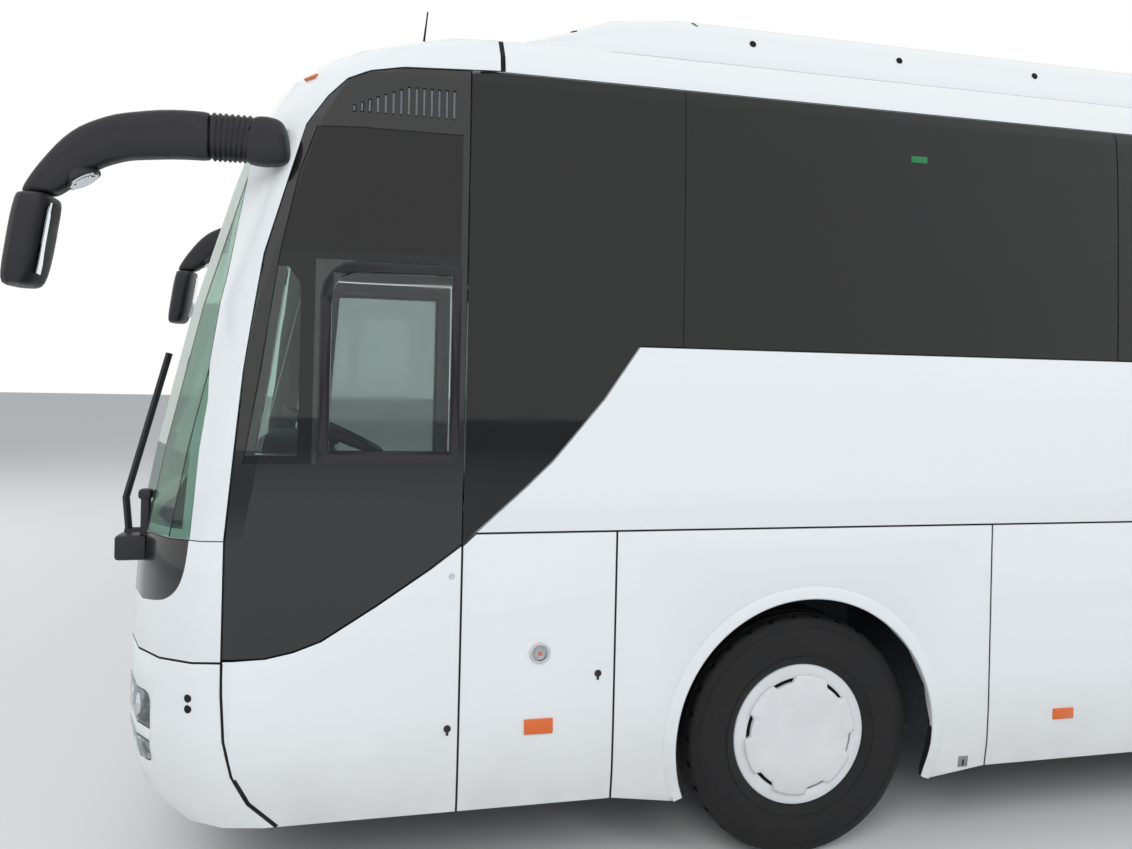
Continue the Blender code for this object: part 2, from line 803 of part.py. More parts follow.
def belt(side, name):
    """The upper side wall: white below the windows, pillars behind the flush glass, and the jambs on the right."""
    half = SEAM / 2
    head = RAIL_FOOT - SEAT_GAP
    rear = REAR_CAP_FRONT + half
    foot = WAIST + half
    under = LAP_FOOT - LAP
    lap = [(rear - LAP, under), (rear - LAP, foot)]
    if side > 0:
        front = FLAP_SPLIT - half
        corner = (front, level_at(cap_edge(-half), front))
        outline = [(rear, head), (rear, LAP_FOOT), (front, LAP_FOOT), corner, (CAP_JOINT - ROOF_JOINT / 2, head)]
        lap += [(SWEEP_WAIST - half, foot), (front, split_height(half)), (front + LAP, split_height(half))]
        lap.append((front + LAP, under))
    else:
        jamb = FLAP_FRONT - half
        arch_front = ARCH_FRONT + half
        low = [(rear, head), (rear, LAP_FOOT), (arch_front, LAP_FOOT), (arch_front, SKIRT_FOOT)]
        rise = [(jamb, SKIRT_FOOT)] + strip_edge(-half)[:-1] + cap_edge(-half)[:-1]
        outline = low + rise + [(CAP_JOINT - ROOF_JOINT / 2, head)]
        lap += [(arch_front, foot), (arch_front, under)]
    obj = shell(name, outline, *side_span(side), WALL)
    cut(obj, pocket(f"{name}_lap", lap, *side_span(side), PANEL + SEAT_GAP))
    grown = side_glass_outline(side, GLASS_SEAM)
    cut(obj, pocket(f"{name}_glass_pocket", grown, *side_span(side), GLASS + SEAT_GAP))
    head = RAIL_FOOT - WINDOW_MARGIN
    for i, (a, b, low) in enumerate(window_openings(side)):
        hole = rounded((b, low), (a, head), WINDOW_ROUND, steps=2)
        cut(obj, prism(f"{name}_window_{i}", hole, *side_span(side)))
    if side < 0:
        for which in DOORWAYS:
            cut(obj, prism(f"{which}_way", doorway(which, 0), *side_span(side)))
    return paint(bake(obj), bits["white"])


def side_glass(side, name):
    obj = shell(name, side_glass_outline(side), *side_span(side), GLASS)
    for i in range(WINDOW_COUNT):
        joint = FIRST_PANE_JOINT - WINDOW_PITCH * i
        groove = [(joint - PANE_GROOVE / 2, WAIST), (joint + PANE_GROOVE / 2, WAIST)]
        groove += [(x, ROOF_HEIGHT) for x, _ in reversed(groove)]
        cut(obj, pocket(f"{name}_groove_{i}", groove, *side_span(side), GLASS / 2))
    return paint(bake(obj), bits["dark_glass"])


def arch_panel(side, name):
    """The panel round the front wheel, its foot drawn down towards the opening."""
    half = SEAM / 2
    dip = SKIRT_FOOT - ARCH_DIP
    opening = arch(0, ARCH_RADIUS)
    outline = (
        [(ARCH_REAR + half, SKIRT_FOOT), (ARCH_REAR + half, WAIST - half)]
        + [(ARCH_FRONT - half, WAIST - half), (ARCH_FRONT - half, SKIRT_FOOT)]
        + [(opening[-1][0] + PANEL, dip), (opening[-1][0], dip)]
        + list(reversed(opening))
        + [(opening[0][0], dip), (opening[0][0] - PANEL, dip)]
    )
    return paint(bake(shell(name, outline, *side_span(side), PANEL)), bits["white"])


def rear_quarter(side, name):
    """The lower side behind the luggage bay, with the rear wheel's opening."""
    half = SEAM / 2
    opening = arch(-WHEELBASE, ARCH_RADIUS)
    front = QUARTER_FRONT - half
    rear = REAR_CAP_FRONT + half
    outline = [(rear, SKIRT_FOOT), (rear, WAIST - half), (front, WAIST - half), (front, SKIRT_FOOT)]
    outline += list(reversed(opening))
    return paint(bake(shell(name, outline, *side_span(side), PANEL)), bits["white"])


def front_service_flap():
    """The white panel below the sweep, hinged at its front edge."""
    half = SEAM / 2
    rear = FLAP_SPLIT + half
    top = sweep(-half, 1, SWEEP_AT_SPLIT)
    seam = bumper_seam(-half)
    first = (seam[0][0], top[0][1] - half)
    outline = [(rear, SKIRT_FOOT), (rear, split_height(-half))] + list(reversed(top)) + [first] + seam[1:]
    obj = bake(shell("service_flap_front", outline, *side_span(1), PANEL))
    return pivot(paint(obj, bits["white"]), (FLAP_FRONT, HALF_WIDTH, 0))


def mid_service_flap():
    """The flap behind it, one corner taken by the sweep."""
    half = SEAM / 2
    front = FLAP_SPLIT - half
    outline = [
        (ARCH_FRONT + half, SKIRT_FOOT),
        (ARCH_FRONT + half, WAIST - half),
        (SWEEP_WAIST - half, WAIST - half),
        (front, split_height(-half)),
        (front, SKIRT_FOOT),
    ]
    obj = bake(shell("service_flap_mid", outline, *side_span(1), PANEL))
    return pivot(paint(obj, bits["white"]), (FLAP_SPLIT, HALF_WIDTH, 0))


def luggage_flap(name, side, front, rear):
    half = SEAM / 2
    outline = [
        (rear + half, SKIRT_FOOT),
        (rear + half, WAIST - half),
        (front - half, WAIST - half),
        (front - half, SKIRT_FOOT),
    ]
    obj = bake(shell(name, outline, *side_span(side), PANEL))
    return pivot(paint(obj, bits["white"]), (front, side * HALF_WIDTH, WAIST))


def driver_opening(margin):
    """The driver's glass: a straight foot and rear, the front edge along the pillar strip."""
    edge = [(x - DRIVER_GLASS_INSET + margin, z) for x, z in strip_edge(0)]
    rear = DRIVER_GLASS_REAR - margin
    head = DRIVER_GLASS_HEAD + margin
    top_x = edge[-1][0] - DRIVER_TOP_RUN
    low = (edge[0][0], SILL - margin)
    return [(rear, SILL - margin), low] + edge[1:] + [(top_x, head), (rear, head)]


def sash_outline(grow):
    low = (DRIVER_GLASS_REAR - GLASS_SEAM - grow, SILL - grow)
    high = (SASH_FRONT + grow, SASH_HEAD + grow)
    return rounded(low, high, SASH_ROUND + grow, (0, 0, 1, 0))


def driver_panel():
    """The black panel round the driver's window, with the louvre over it."""
    half = SEAM / 2
    rear = FLAP_SPLIT + half
    low = list(reversed(sweep(half, 1, SWEEP_AT_SPLIT)))
    under = list(reversed(sweep(-LAP, 1, SWEEP_AT_SPLIT)))
    front = FLAP_FRONT - half
    outline = [(rear, RAIL_FOOT - SEAM - half), (rear, split_height(-LAP))] + under
    outline += [(front, under[-1][1])] + strip_edge(-half)[:-1] + cap_edge(-half)[:-1]
    obj = shell("driver_panel", outline, *side_span(1), WALL)
    foot = under[-1][1] - LAP
    lap = [(rear - LAP, foot), (rear - LAP, split_height(half)), (rear, split_height(half))] + low
    lap += [(front + LAP, low[-1][1]), (front + LAP, foot)]
    cut(obj, pocket("driver_panel_lap", lap, *side_span(1), PANEL + SEAT_GAP))
    cut(obj, pocket("driver_glass_pocket", driver_opening(GLASS_SEAM / 2), *side_span(1), GLASS + SEAT_GAP))
    cut(obj, pocket("sash_pocket", sash_outline(SEAT_GAP), *side_span(1), SASH_DEPTH + SEAT_GAP))
    rim = SASH_FRAME
    rear_hole = [(x, z) for x, z in sash_outline(-rim)]
    cut(obj, prism("sash_way", rear_hole, *side_span(1)))
    top = SASH_HEAD + rim
    quarter = [(DRIVER_GLASS_REAR + rim, top), (SASH_FRONT, top), (SASH_FRONT, DRIVER_GLASS_HEAD - rim)]
    quarter.append((DRIVER_GLASS_REAR + rim, DRIVER_GLASS_HEAD - rim))
    cut(obj, prism("quarter_way", quarter, *side_span(1)))
    edge = [(x - rim, z) for x, z in driver_opening(0)[1:4]]
    light = [(SASH_FRONT + 2 * rim, SILL + rim), (edge[0][0], SILL + rim), edge[1], edge[2]]
    light.append((SASH_FRONT + 2 * rim, edge[2][1]))
    cut(obj, prism("front_light_way", light, *side_span(1)))
    cut(obj, louvre_cutter())
    return paint(bake(obj), bits["black"])


def louvre_cutter():
    bm = bmesh.new()
    for i in range(LOUVRE_COUNT):
        rear = LOUVRE_FIRST + LOUVRE_PITCH * i
        head = LOUVRE_HEAD - LOUVRE_FALL * max(0, i - LOUVRE_LEVEL)
        add_box(bm, (rear, HALF_WIDTH - OVERRUN, LOUVRE_FOOT), (rear + LOUVRE_SLOT, HALF_WIDTH, head))
    obj = from_bmesh("louvre_slots", bm, helper=True)
    return cut(obj, skin_at(LOUVRE_DEPTH))


def driver_glass():
    obj = shell("driver_glass", driver_opening(0), *side_span(1), GLASS)
    cut(obj, prism("sash_notch", sash_outline(GLASS_SEAM), *side_span(1)))
    return paint(bake(obj), bits["dark_glass"])


def driver_sash():
    """The sliding window's frame with its pane, one solid."""
    obj = shell("driver_sash", sash_outline(0), *side_span(1), SASH_DEPTH)
    inner = sash_outline(-SASH_FRAME)
    cut(obj, pocket("sash_face", inner, *side_span(1), GLASS))
    back = prism("sash_back", inner, *side_span(1))
    shape(back, "INTERSECT", skin_at(GLASS + SASH_PANE))
    cut(obj, back)
    return paint(bake(obj), bits["black"])


# The front


def front_bumper():
    half = SEAM / 2
    top = MASK_FOOT - half
    reach = FRONT_OVERHANG + OVERRUN
    seam = bumper_seam(half)
    left = [(reach, SKIRT_FOOT)] + [(reach, top), (seam[0][0], top)] + seam[1:]
    right = [(reach, SKIRT_FOOT), (reach, top), (FLAP_FRONT + half, top), (FLAP_FRONT + half, SKIRT_FOOT)]
    outer = HALF_WIDTH + OVERRUN
    obj = prism("front_bumper", left, -SEAM, outer, helper=False)
    join(obj, prism("bumper_right_half", right, -outer, 0))
    shape(obj, "INTERSECT", skin_at(0))
    cut(obj, skin_at(WALL))
    for side in (1, -1):
        cut(obj, lamp_void(side))
    return paint(bake(obj), bits["white"])


def lamp_outline(side, grow):
    low = (LAMP_INNER - grow, FOG_FOOT - grow)
    high = (LAMP_OUTER + grow, LAMP_HEAD + grow)
    points = rounded(low, high, LAMP_ROUND, steps=2)
    return [(side * y, z) for y, z in points]


def lamp_bridge(side, shrink, depth, name):
    """The strip of bumper between the two lenses, down to a depth."""
    outer = LAMP_OUTER + OVERRUN
    strip = [(side * (LAMP_INNER - OVERRUN), FOG_HEAD + shrink), (side * outer, FOG_HEAD + shrink)]
    strip += [(y, LAMP_FOOT - shrink) for y, _ in reversed(strip)]
    obj = prism(name, strip, CAP_JOINT, FRONT_OVERHANG + OVERRUN, "YZ")
    return cut(obj, skin_at(depth))


def headlamp(side, name):
    obj = shell(name, lamp_outline(side, 0), CAP_JOINT, FRONT_OVERHANG + OVERRUN, PANEL, "YZ")
    cut(obj, lamp_bridge(side, 0, LAMP_BACK, f"{name}_bridge"))
    return paint(bake(obj), bits["lamp"])


def lamp_void(side):
    outline = lamp_outline(side, GLASS_SEAM / 2)
    obj = pocket(f"lamp_void_{side}", outline, CAP_JOINT, FRONT_OVERHANG + OVERRUN, PANEL + SEAT_GAP, "YZ")
    cut(obj, lamp_bridge(side, GLASS_SEAM / 2, LAMP_BACK - SEAT_GAP, f"lamp_bar_{side}"))
    return obj


def front_mask():
    half = SEAM / 2
    reach = FRONT_OVERHANG + OVERRUN
    rear = FLAP_FRONT + half
    outline = [(reach, MASK_FOOT + half), (reach, SCREEN_FOOT - half), (rear, SCREEN_FOOT - half), (rear, MASK_FOOT + half)]
    outer = HALF_WIDTH + OVERRUN
    return paint(bake(shell("front_mask", outline, -outer, outer, WALL)), bits["white"])


def screen_outline(grow):
    """The windscreen seen from the front, its head slightly bowed."""
    foot = SCREEN_FOOT + SEAM / 2 - grow
    rise = SCREEN_HEAD + grow - foot
    right = [(SCREEN_HALF * b + grow, foot + rise * a) for a, b in SCREEN_SHARES]
    return right + [(-y, z) for y, z in reversed(right)]


def front_hoop():
    """Both pillar strips and the roof's front cap, round the windscreen."""
    half = SEAM / 2
    reach = FRONT_OVERHANG + OVERRUN
    joint = CAP_JOINT + ROOF_JOINT / 2
    edge = strip_edge(half)[:-1] + cap_edge(half)[:-1]
    outline = [(reach, SCREEN_FOOT), edge[0]] + edge[1:] + [(joint, RAIL_FOOT + half)]
    outline += [(joint, COACH_HEIGHT), (reach, COACH_HEIGHT)]
    outer = HALF_WIDTH + OVERRUN
    obj = shell("front_hoop", outline, -outer, outer, WALL)
    cut(obj, pocket("screen_seat", screen_outline(GLASS_SEAM / 2), CAP_JOINT, reach, GLASS + SEAT_GAP, "YZ"))
    cut(obj, prism("screen_way", screen_outline(-SCREEN_RIM), CAP_JOINT, reach, "YZ"))
    return paint(bake(obj), bits["white"])


def windscreen():
    reach = FRONT_OVERHANG + OVERRUN
    obj = shell("windscreen", screen_outline(0), CAP_JOINT, reach, GLASS, "YZ")
    return paint(bake(obj), bits["screen_glass"])


# The roof


def roof():
    joint = CAP_JOINT - ROOF_JOINT / 2
    rear = REAR_CAP_FRONT + SEAM / 2
    foot = RAIL_FOOT
    outline = [(rear, foot), (joint, foot), (joint, COACH_HEIGHT), (rear, COACH_HEIGHT)]
    outer = HALF_WIDTH + OVERRUN
    return paint(bake(shell("roof", outline, -outer, outer, WALL)), bits["white"])


def roof_pod():
    """The air-conditioning fairing: sections along the roof, cut to the roof's own crown."""
    rings = []
    low = COACH_HEIGHT - POD_DEPTH
    for along, rise, wide in POD_SHARES:
        x = POD_FRONT - POD_LENGTH * along
        top = POD_FOOT + (COACH_HEIGHT - POD_FOOT) * rise
        half = []
        for out, up in POD_RING_SHARES:
            half.append((x, POD_HALF * wide * out, POD_FOOT + (top - POD_FOOT) * up))
        ring = [(x, POD_HALF * wide, low)] + half
        ring += [(x, -y, z) for x, y, z in reversed(ring[:-1])]
        rings.append(ring)
    obj = loft("roof_pod", rings)
    cut(obj, skin_at(-SEAT_GAP))
    return paint(bake(obj), bits["white"])


# The rear


def rear_ring(half_width, foot, head, radius, steps=3):
    return rounded((-half_width, foot), (half_width, head), radius, steps=steps)


def rear_wall():
    front = REAR_CAP_FRONT - SEAM / 2
    reach = -TAIL_END - OVERRUN
    outline = [(reach, SKIRT_FOOT), (front, SKIRT_FOOT), (front, COACH_HEIGHT), (reach, COACH_HEIGHT)]
    outer = HALF_WIDTH + OVERRUN
    obj = shell("rear_wall", outline, -outer, outer, WALL)
    span = (reach, REAR_CAP_FRONT - SEAM)
    margin = GLASS_SEAM / 2
    glass = rear_ring(REAR_GLASS_HALF + margin, REAR_GLASS_FOOT - margin, REAR_GLASS_HEAD + margin, REAR_ROUND)
    cut(obj, pocket("rear_glass_pocket", glass, *span, GLASS + SEAT_GAP, "YZ"))
    rim = WINDOW_MARGIN
    hole = rear_ring(REAR_GLASS_HALF - rim, REAR_GLASS_FOOT + rim, REAR_GLASS_HEAD - rim, REAR_ROUND)
    cut(obj, prism("rear_window", hole, *span, "YZ"))
    half = SEAM / 2
    lid = rear_ring(LID_HALF + half, LID_FOOT - half, LID_HEAD + half, LID_ROUND)
    cut(obj, pocket("lid_seat", lid, *span, PANEL + SEAT_GAP, "YZ"))
    way = rear_ring(LID_HALF - LID_RIM, LID_FOOT + LID_RIM, LID_HEAD - LID_RIM, LID_ROUND)
    cut(obj, prism("lid_way", way, *span, "YZ"))
    return paint(bake(obj), bits["white"])


def rear_glass():
    outline = rear_ring(REAR_GLASS_HALF, REAR_GLASS_FOOT, REAR_GLASS_HEAD, REAR_ROUND)
    span = (-TAIL_END - OVERRUN, REAR_CAP_FRONT - SEAM)
    return paint(bake(shell("rear_glass", outline, *span, GLASS, "YZ")), bits["dark_glass"])


def engine_lid():
    half = SEAM / 2
    outline = rear_ring(LID_HALF - half, LID_FOOT + half, LID_HEAD - half, LID_ROUND)
    span = (-TAIL_END - OVERRUN, REAR_CAP_FRONT - SEAM)
    obj = shell("engine_lid", outline, *span, PANEL, "YZ")
    for i in range(GRILLE_BARS):
        foot = GRILLE_FOOT + GRILLE_PITCH * i
        slot = [(-GRILLE_HALF, foot), (GRILLE_HALF, foot), (GRILLE_HALF, foot + GRILLE_SLOT), (-GRILLE_HALF, foot + GRILLE_SLOT)]
        cut(obj, prism(f"grille_slot_{i}", slot, *span, "YZ"))
    return pivot(paint(bake(obj), bits["white"]), (-TAIL_END, 0, LID_HEAD))


# Doors on the right, each on a swing arm


def door_posts(which):
    """The post's place for a door and which way the leaf travels, forward (1) or back (-1)."""
    front, rear = DOORWAYS[which]
    way = 1 if which == "front_door" else -1
    edge = front if way > 0 else rear
    return (edge - way * POST_BACK, -(HALF_WIDTH - POST_IN)), way


def door(which):
    obj = shell(which, doorway(which, DOOR_GAP), *side_span(-1), DOOR_LEAF)
    edge = doorway(which, DOOR_GLASS_MARGIN)
    pane = [(edge[0][0], DOOR_GLASS_FOOT), (edge[1][0], DOOR_GLASS_FOOT)] + edge[2:]
    back = prism(f"{which}_pane_back", pane, *side_span(-1))
    shape(back, "INTERSECT", skin_at(GLASS))
    cut(obj, back)
    (px, py), way = door_posts(which)
    x = px - way * ARM_REACH
    y = py - ARM_OUT
    for i, height in enumerate(ARM_HEIGHTS):
        foot = height + ARM_FLAT + PIN_GAP
        low = (x - EAR / 2, -(HALF_WIDTH - DOOR_LEAF / 2), foot)
        high = (x + EAR / 2, y + EAR / 2, foot + EAR / 2)
        join(obj, box(f"{which}_ear_{i}", low, high, helper=True))
    return pivot(paint(bake(obj), bits["white"]), (x, y, 0))


def door_arm(which):
    """A post with two cranked arms, which pass round the door's jamb when the door stands open."""
    (px, py), way = door_posts(which)
    obj = tube(f"{which}_arm", [(px, py, STEP_FOOT + SEAT_GAP), (px, py, POST_HEAD)], POST_RADIUS)
    turn = math.radians(270 - ARM_OPEN_TURN)
    bend = (px - way * ARM_BEND * -math.cos(turn), py + ARM_BEND * -math.sin(-turn))
    for i, height in enumerate(ARM_HEIGHTS):
        points = [(px, py, height), (*bend, height), (px - way * ARM_REACH, py - ARM_OUT, height)]
        join(obj, tube(f"{which}_crank_{i}", points, ARM_RADIUS, helper=True))
    return pivot(paint(bake(obj), bits["steel"]), (px, py, 0))


# Wheels


def tyre(name, y, side, station):
    """Bead to tread, as a closed ring."""
    half = TYRE_WIDTH / 2
    bead = RIM_WIDTH / 2 - RIM_WALL
    wall = TYRE_RADIUS - RIM_RADIUS
    profile = [(radius + SEAT_GAP, bead - SEAT_GAP) for radius in (RIM_RADIUS, RIM_RADIUS + RIM_FLANGE)]
    profile += [(RIM_RADIUS + SEAT_GAP + wall * up, half * out) for up, out in TYRE_SHARES]
    profile += [(r, -a) for r, a in reversed(profile)]
    obj = turned(name, list(reversed(profile)), (station, y, AXLE_HEIGHT))
    return pivot(paint(obj, bits["rubber"]), (station, y, AXLE_HEIGHT))


def seat_profile(centre):
    """One tyre's seat with its two flanges, from the outer side in."""
    lip = RIM_RADIUS + RIM_FLANGE
    half = RIM_WIDTH / 2
    return [
        (lip, centre + half),
        (lip, centre + half - RIM_WALL),
        (RIM_RADIUS, centre + half - RIM_WALL),
        (RIM_RADIUS, centre - half + RIM_WALL),
        (lip, centre - half + RIM_WALL),
        (lip, centre - half),
    ]


def front_rim_profile():
    """Flat trim disc over the outer flange, the wheel's disc just behind it, and the hub."""
    cover = RIM_WIDTH / 2 + RIM_WALL
    barrel = RIM_RADIUS - RIM_WALL
    points = [(0, cover), (COVER_RADIUS, cover), (COVER_RADIUS, cover - RIM_WALL / 2)]
    points += seat_profile(0)
    return points + [(barrel, -RIM_WIDTH / 2), (barrel, DISC_BACK), (HUB_RADIUS, DISC_BACK), (HUB_RADIUS, HUB_IN), (0, HUB_IN)]


def rear_rim_profile():
    """A deep dish with the hub standing in it, and both twins' seats on one barrel."""
    barrel = RIM_RADIUS - RIM_WALL
    dish = -REAR_DISC_FACE
    back = -REAR_DISC_BACK
    points = [(0, REAR_HUB_OUT), (HUB_RADIUS * 0.9, REAR_HUB_OUT), (HUB_RADIUS, dish), (barrel * 0.86, dish)]
    points += [(barrel, dish * 0.5), (barrel, RIM_WIDTH / 2)]
    points += seat_profile(0) + seat_profile(-TWIN_SPACING)
    inner = -TWIN_SPACING - RIM_WIDTH / 2
    return points + [(barrel, inner), (barrel, back), (HUB_RADIUS, back), (HUB_RADIUS, back - RIM_WALL), (0, back - RIM_WALL)]


def cover_plate(name, cover):
    """The trim's raised plate with its notches, drawn as an arc between each two notches."""
    points = []
    step = 2 * math.pi / COVER_NOTCHES
    for i in range(COVER_NOTCHES):
        for share, depth in ((0.08, 1), (0.16, 0), (0.5, 0), (0.84, 0), (0.92, 1)):
            angle = step * (i + share)
            radius = COVER_PLATE - COVER_NOTCH_DEPTH * depth
            points.append((radius * math.cos(angle), radius * math.sin(angle) + AXLE_HEIGHT))
    low, high = cover - RIM_WALL, cover + COVER_RISE
    return points, low, high


def rim(name, side, station, twin):
    outer = WHEEL_TRACK_HALF
    profile = rear_rim_profile() if twin else front_rim_profile()
    obj = turned(name, [(r, a * side) for r, a in profile][::side], (station, side * outer, AXLE_HEIGHT))
    if not twin:
        points, low, high = cover_plate(name, RIM_WIDTH / 2 + RIM_WALL)
        spans = sorted((side * (outer + low), side * (outer + high)))
        join(obj, prism(f"{name}_plate", [(x + station, z) for x, z in points], *spans))
    return pivot(paint(bake(obj), bits["trim_white"]), (station, side * outer, AXLE_HEIGHT))


def knuckle(side, name):
    """The kingpin's upright with the stub axle and the hub the wheel turns on."""
    y = side * KINGPIN_Y
    hub_end = side * (WHEEL_TRACK_HALF + HUB_IN - RUNNING_GAP)
    obj = cylinder(name, (0, y, AXLE_HEIGHT), KNUCKLE_RADIUS, KNUCKLE_HEIGHT, "Z")
    low, high = sorted((y, hub_end))
    join(obj, cylinder(f"{name}_stub", (0, (low + high) / 2, AXLE_HEIGHT), STUB_RADIUS, high - low, "Y", helper=True))
    plate = side * (KINGPIN_Y + BRAKE_OFFSET)
    join(obj, cylinder(f"{name}_brake", (0, plate, AXLE_HEIGHT), BRAKE_RADIUS, BRAKE_WIDTH, "Y", helper=True, sides=24))
    return pivot(paint(bake(obj), bits["iron"]), (0, y, AXLE_HEIGHT))


# Axles


def front_axle():
    """A dropped beam between the kingpin eyes, with air springs up to the frame and a rod to the bay's wall."""
    eye = KINGPIN_Y
    low = AXLE_HEIGHT - BEAM_DROP
    outline = [(-RAIL_Y - RAIL_WIDTH, low), (RAIL_Y + RAIL_WIDTH, low)]
    outline += [(eye, AXLE_HEIGHT - KNUCKLE_HEIGHT / 2 - BEAM_HEIGHT), (eye, AXLE_HEIGHT - KNUCKLE_HEIGHT / 2 - SEAT_GAP)]
    outline += [(eye - BEAM_HEIGHT, AXLE_HEIGHT - KNUCKLE_HEIGHT / 2 - SEAT_GAP), (RAIL_Y + RAIL_WIDTH / 2, low + BEAM_HEIGHT)]
    half = outline[2:]
    outline = [outline[1]] + half + [(-y, z) for y, z in reversed(half)] + [outline[0]]
    obj = prism("front_axle", outline, -BEAM_WIDTH / 2, BEAM_WIDTH / 2, "YZ", helper=False)
    for side in (1, -1):
        join(obj, air_spring(f"front_spring_{side}", 0, side * FRONT_SPRING_Y, low + BEAM_HEIGHT - SEAM))
        high = (ROD_WIDTH / 2, side * RAIL_Y + ROD_WIDTH / 2, low + BEAM_HEIGHT / 2 + ROD_WIDTH / 2)
        start = (ARCH_REAR - BAY_WALL_BACK + SEAT_GAP, side * RAIL_Y - ROD_WIDTH / 2, low + BEAM_HEIGHT / 2 - ROD_WIDTH / 2)
        join(obj, box(f"front_rod_{side}", start, high, helper=True))
    return paint(bake(obj), bits["iron"])


def air_spring(name, x, y, foot):
    head = RAIL_TOP - RAIL_DEPTH - SEAT_GAP
    return cylinder(name, (x, y, (foot + head) / 2), SPRING_RADIUS, head - foot, "Z", helper=True)


def rear_axle():
    """A banjo casing with its tubes out to the hubs, air springs ahead and behind, and a rod to the bay's wall."""
    x = -WHEELBASE
    end = WHEEL_TRACK_HALF - REAR_DISC_BACK - RIM_WALL - RUNNING_GAP
    obj = cylinder("rear_axle", (x, 0, AXLE_HEIGHT), TUBE_RADIUS, 2 * end, "Y")
    join(obj, cylinder("banjo", (x, 0, AXLE_HEIGHT), BANJO_RADIUS, BANJO_LENGTH, "Y", helper=True, sides=20))
    for side in (1, -1):
        y = side * RAIL_Y
        low = (x - SPRING_SPREAD, y - ROD_WIDTH, AXLE_HEIGHT - ROD_WIDTH)
        high = (x + SPRING_SPREAD, y + ROD_WIDTH, AXLE_HEIGHT + ROD_WIDTH / 2)
        join(obj, box(f"spring_bar_{side}", low, high, helper=True))
        for place in (-1, 1):
            middle = x + place * (SPRING_SPREAD - SPRING_RADIUS)
            join(obj, air_spring(f"rear_spring_{side}_{place}", middle, y, AXLE_HEIGHT))
        start = (x, y - ROD_WIDTH / 2, AXLE_HEIGHT - ROD_WIDTH / 2)
        stop = (QUARTER_FRONT + BAY_WALL_BACK - SEAT_GAP, y + ROD_WIDTH / 2, AXLE_HEIGHT + ROD_WIDTH / 2)
        join(obj, box(f"rear_rod_{side}", start, stop, helper=True))
    return paint(bake(obj), bits["iron"])


# Underbody and floor


def underbody():
    """The bay's floor and end walls as a box, with frame rails ahead of it and behind it."""
    bm = bmesh.new()
    front = ARCH_REAR - BAY_WALL_BACK
    rear = QUARTER_FRONT + BAY_WALL_BACK
    head = FLOOR - FLOOR_PLATE - SEAT_GAP
    side = HALF_WIDTH - PANEL - BAY_SIDE_GAP
    add_box(bm, (rear, -side, BAY_FLOOR), (front, side, BAY_FLOOR + BAY_PLATE))
    obj = from_bmesh("underbody", bm)
    parts = []
    for i, x in enumerate((front - BAY_PLATE, rear)):
        parts.append(((x, -side, BAY_FLOOR), (x + BAY_PLATE, side, head)))
    for y in (RAIL_Y, -RAIL_Y):
        low, high = y - RAIL_WIDTH / 2, y + RAIL_WIDTH / 2
        parts.append(((front - BAY_PLATE, low, RAIL_TOP - RAIL_DEPTH), (FRONT_OVERHANG, high, RAIL_TOP)))
        parts.append(((FRAME_REAR, low, RAIL_TOP - RAIL_DEPTH), (rear + BAY_PLATE, high, RAIL_TOP)))
    for x in CROSS_STATIONS:
        parts.append(((x - CROSS_WIDTH / 2, -CROSS_HALF, RAIL_TOP - RAIL_DEPTH / 2), (x + CROSS_WIDTH / 2, CROSS_HALF, RAIL_TOP)))
        post = CAB_FLOOR - FLOOR_PLATE - SEAT_GAP if x > 0 else head
        parts.append(((x - CROSS_WIDTH / 2, RAIL_Y - RAIL_WIDTH / 2, RAIL_TOP), (x + CROSS_WIDTH / 2, RAIL_Y + RAIL_WIDTH / 2, post)))
        parts.append(((x - CROSS_WIDTH / 2, -RAIL_Y - RAIL_WIDTH / 2, RAIL_TOP), (x + CROSS_WIDTH / 2, -RAIL_Y + RAIL_WIDTH / 2, post)))
    for i, (low, high) in enumerate(parts):
        join(obj, box(f"underbody_part_{i}", low, high, helper=True))
    start, stop = well_span("mid_door")
    low = (start - STEP_PLATE, -HALF_WIDTH - OVERRUN, 0)
    high = (stop + STEP_PLATE, STEP_WELL_Y + STEP_PLATE * 3, FLOOR + SEAM)
    cut(obj, box("mid_well_space", low, high, helper=True))
    shape(obj, "INTERSECT", skin_at(WALL + SEAT_GAP))
    return paint(bake(obj), bits["iron"])


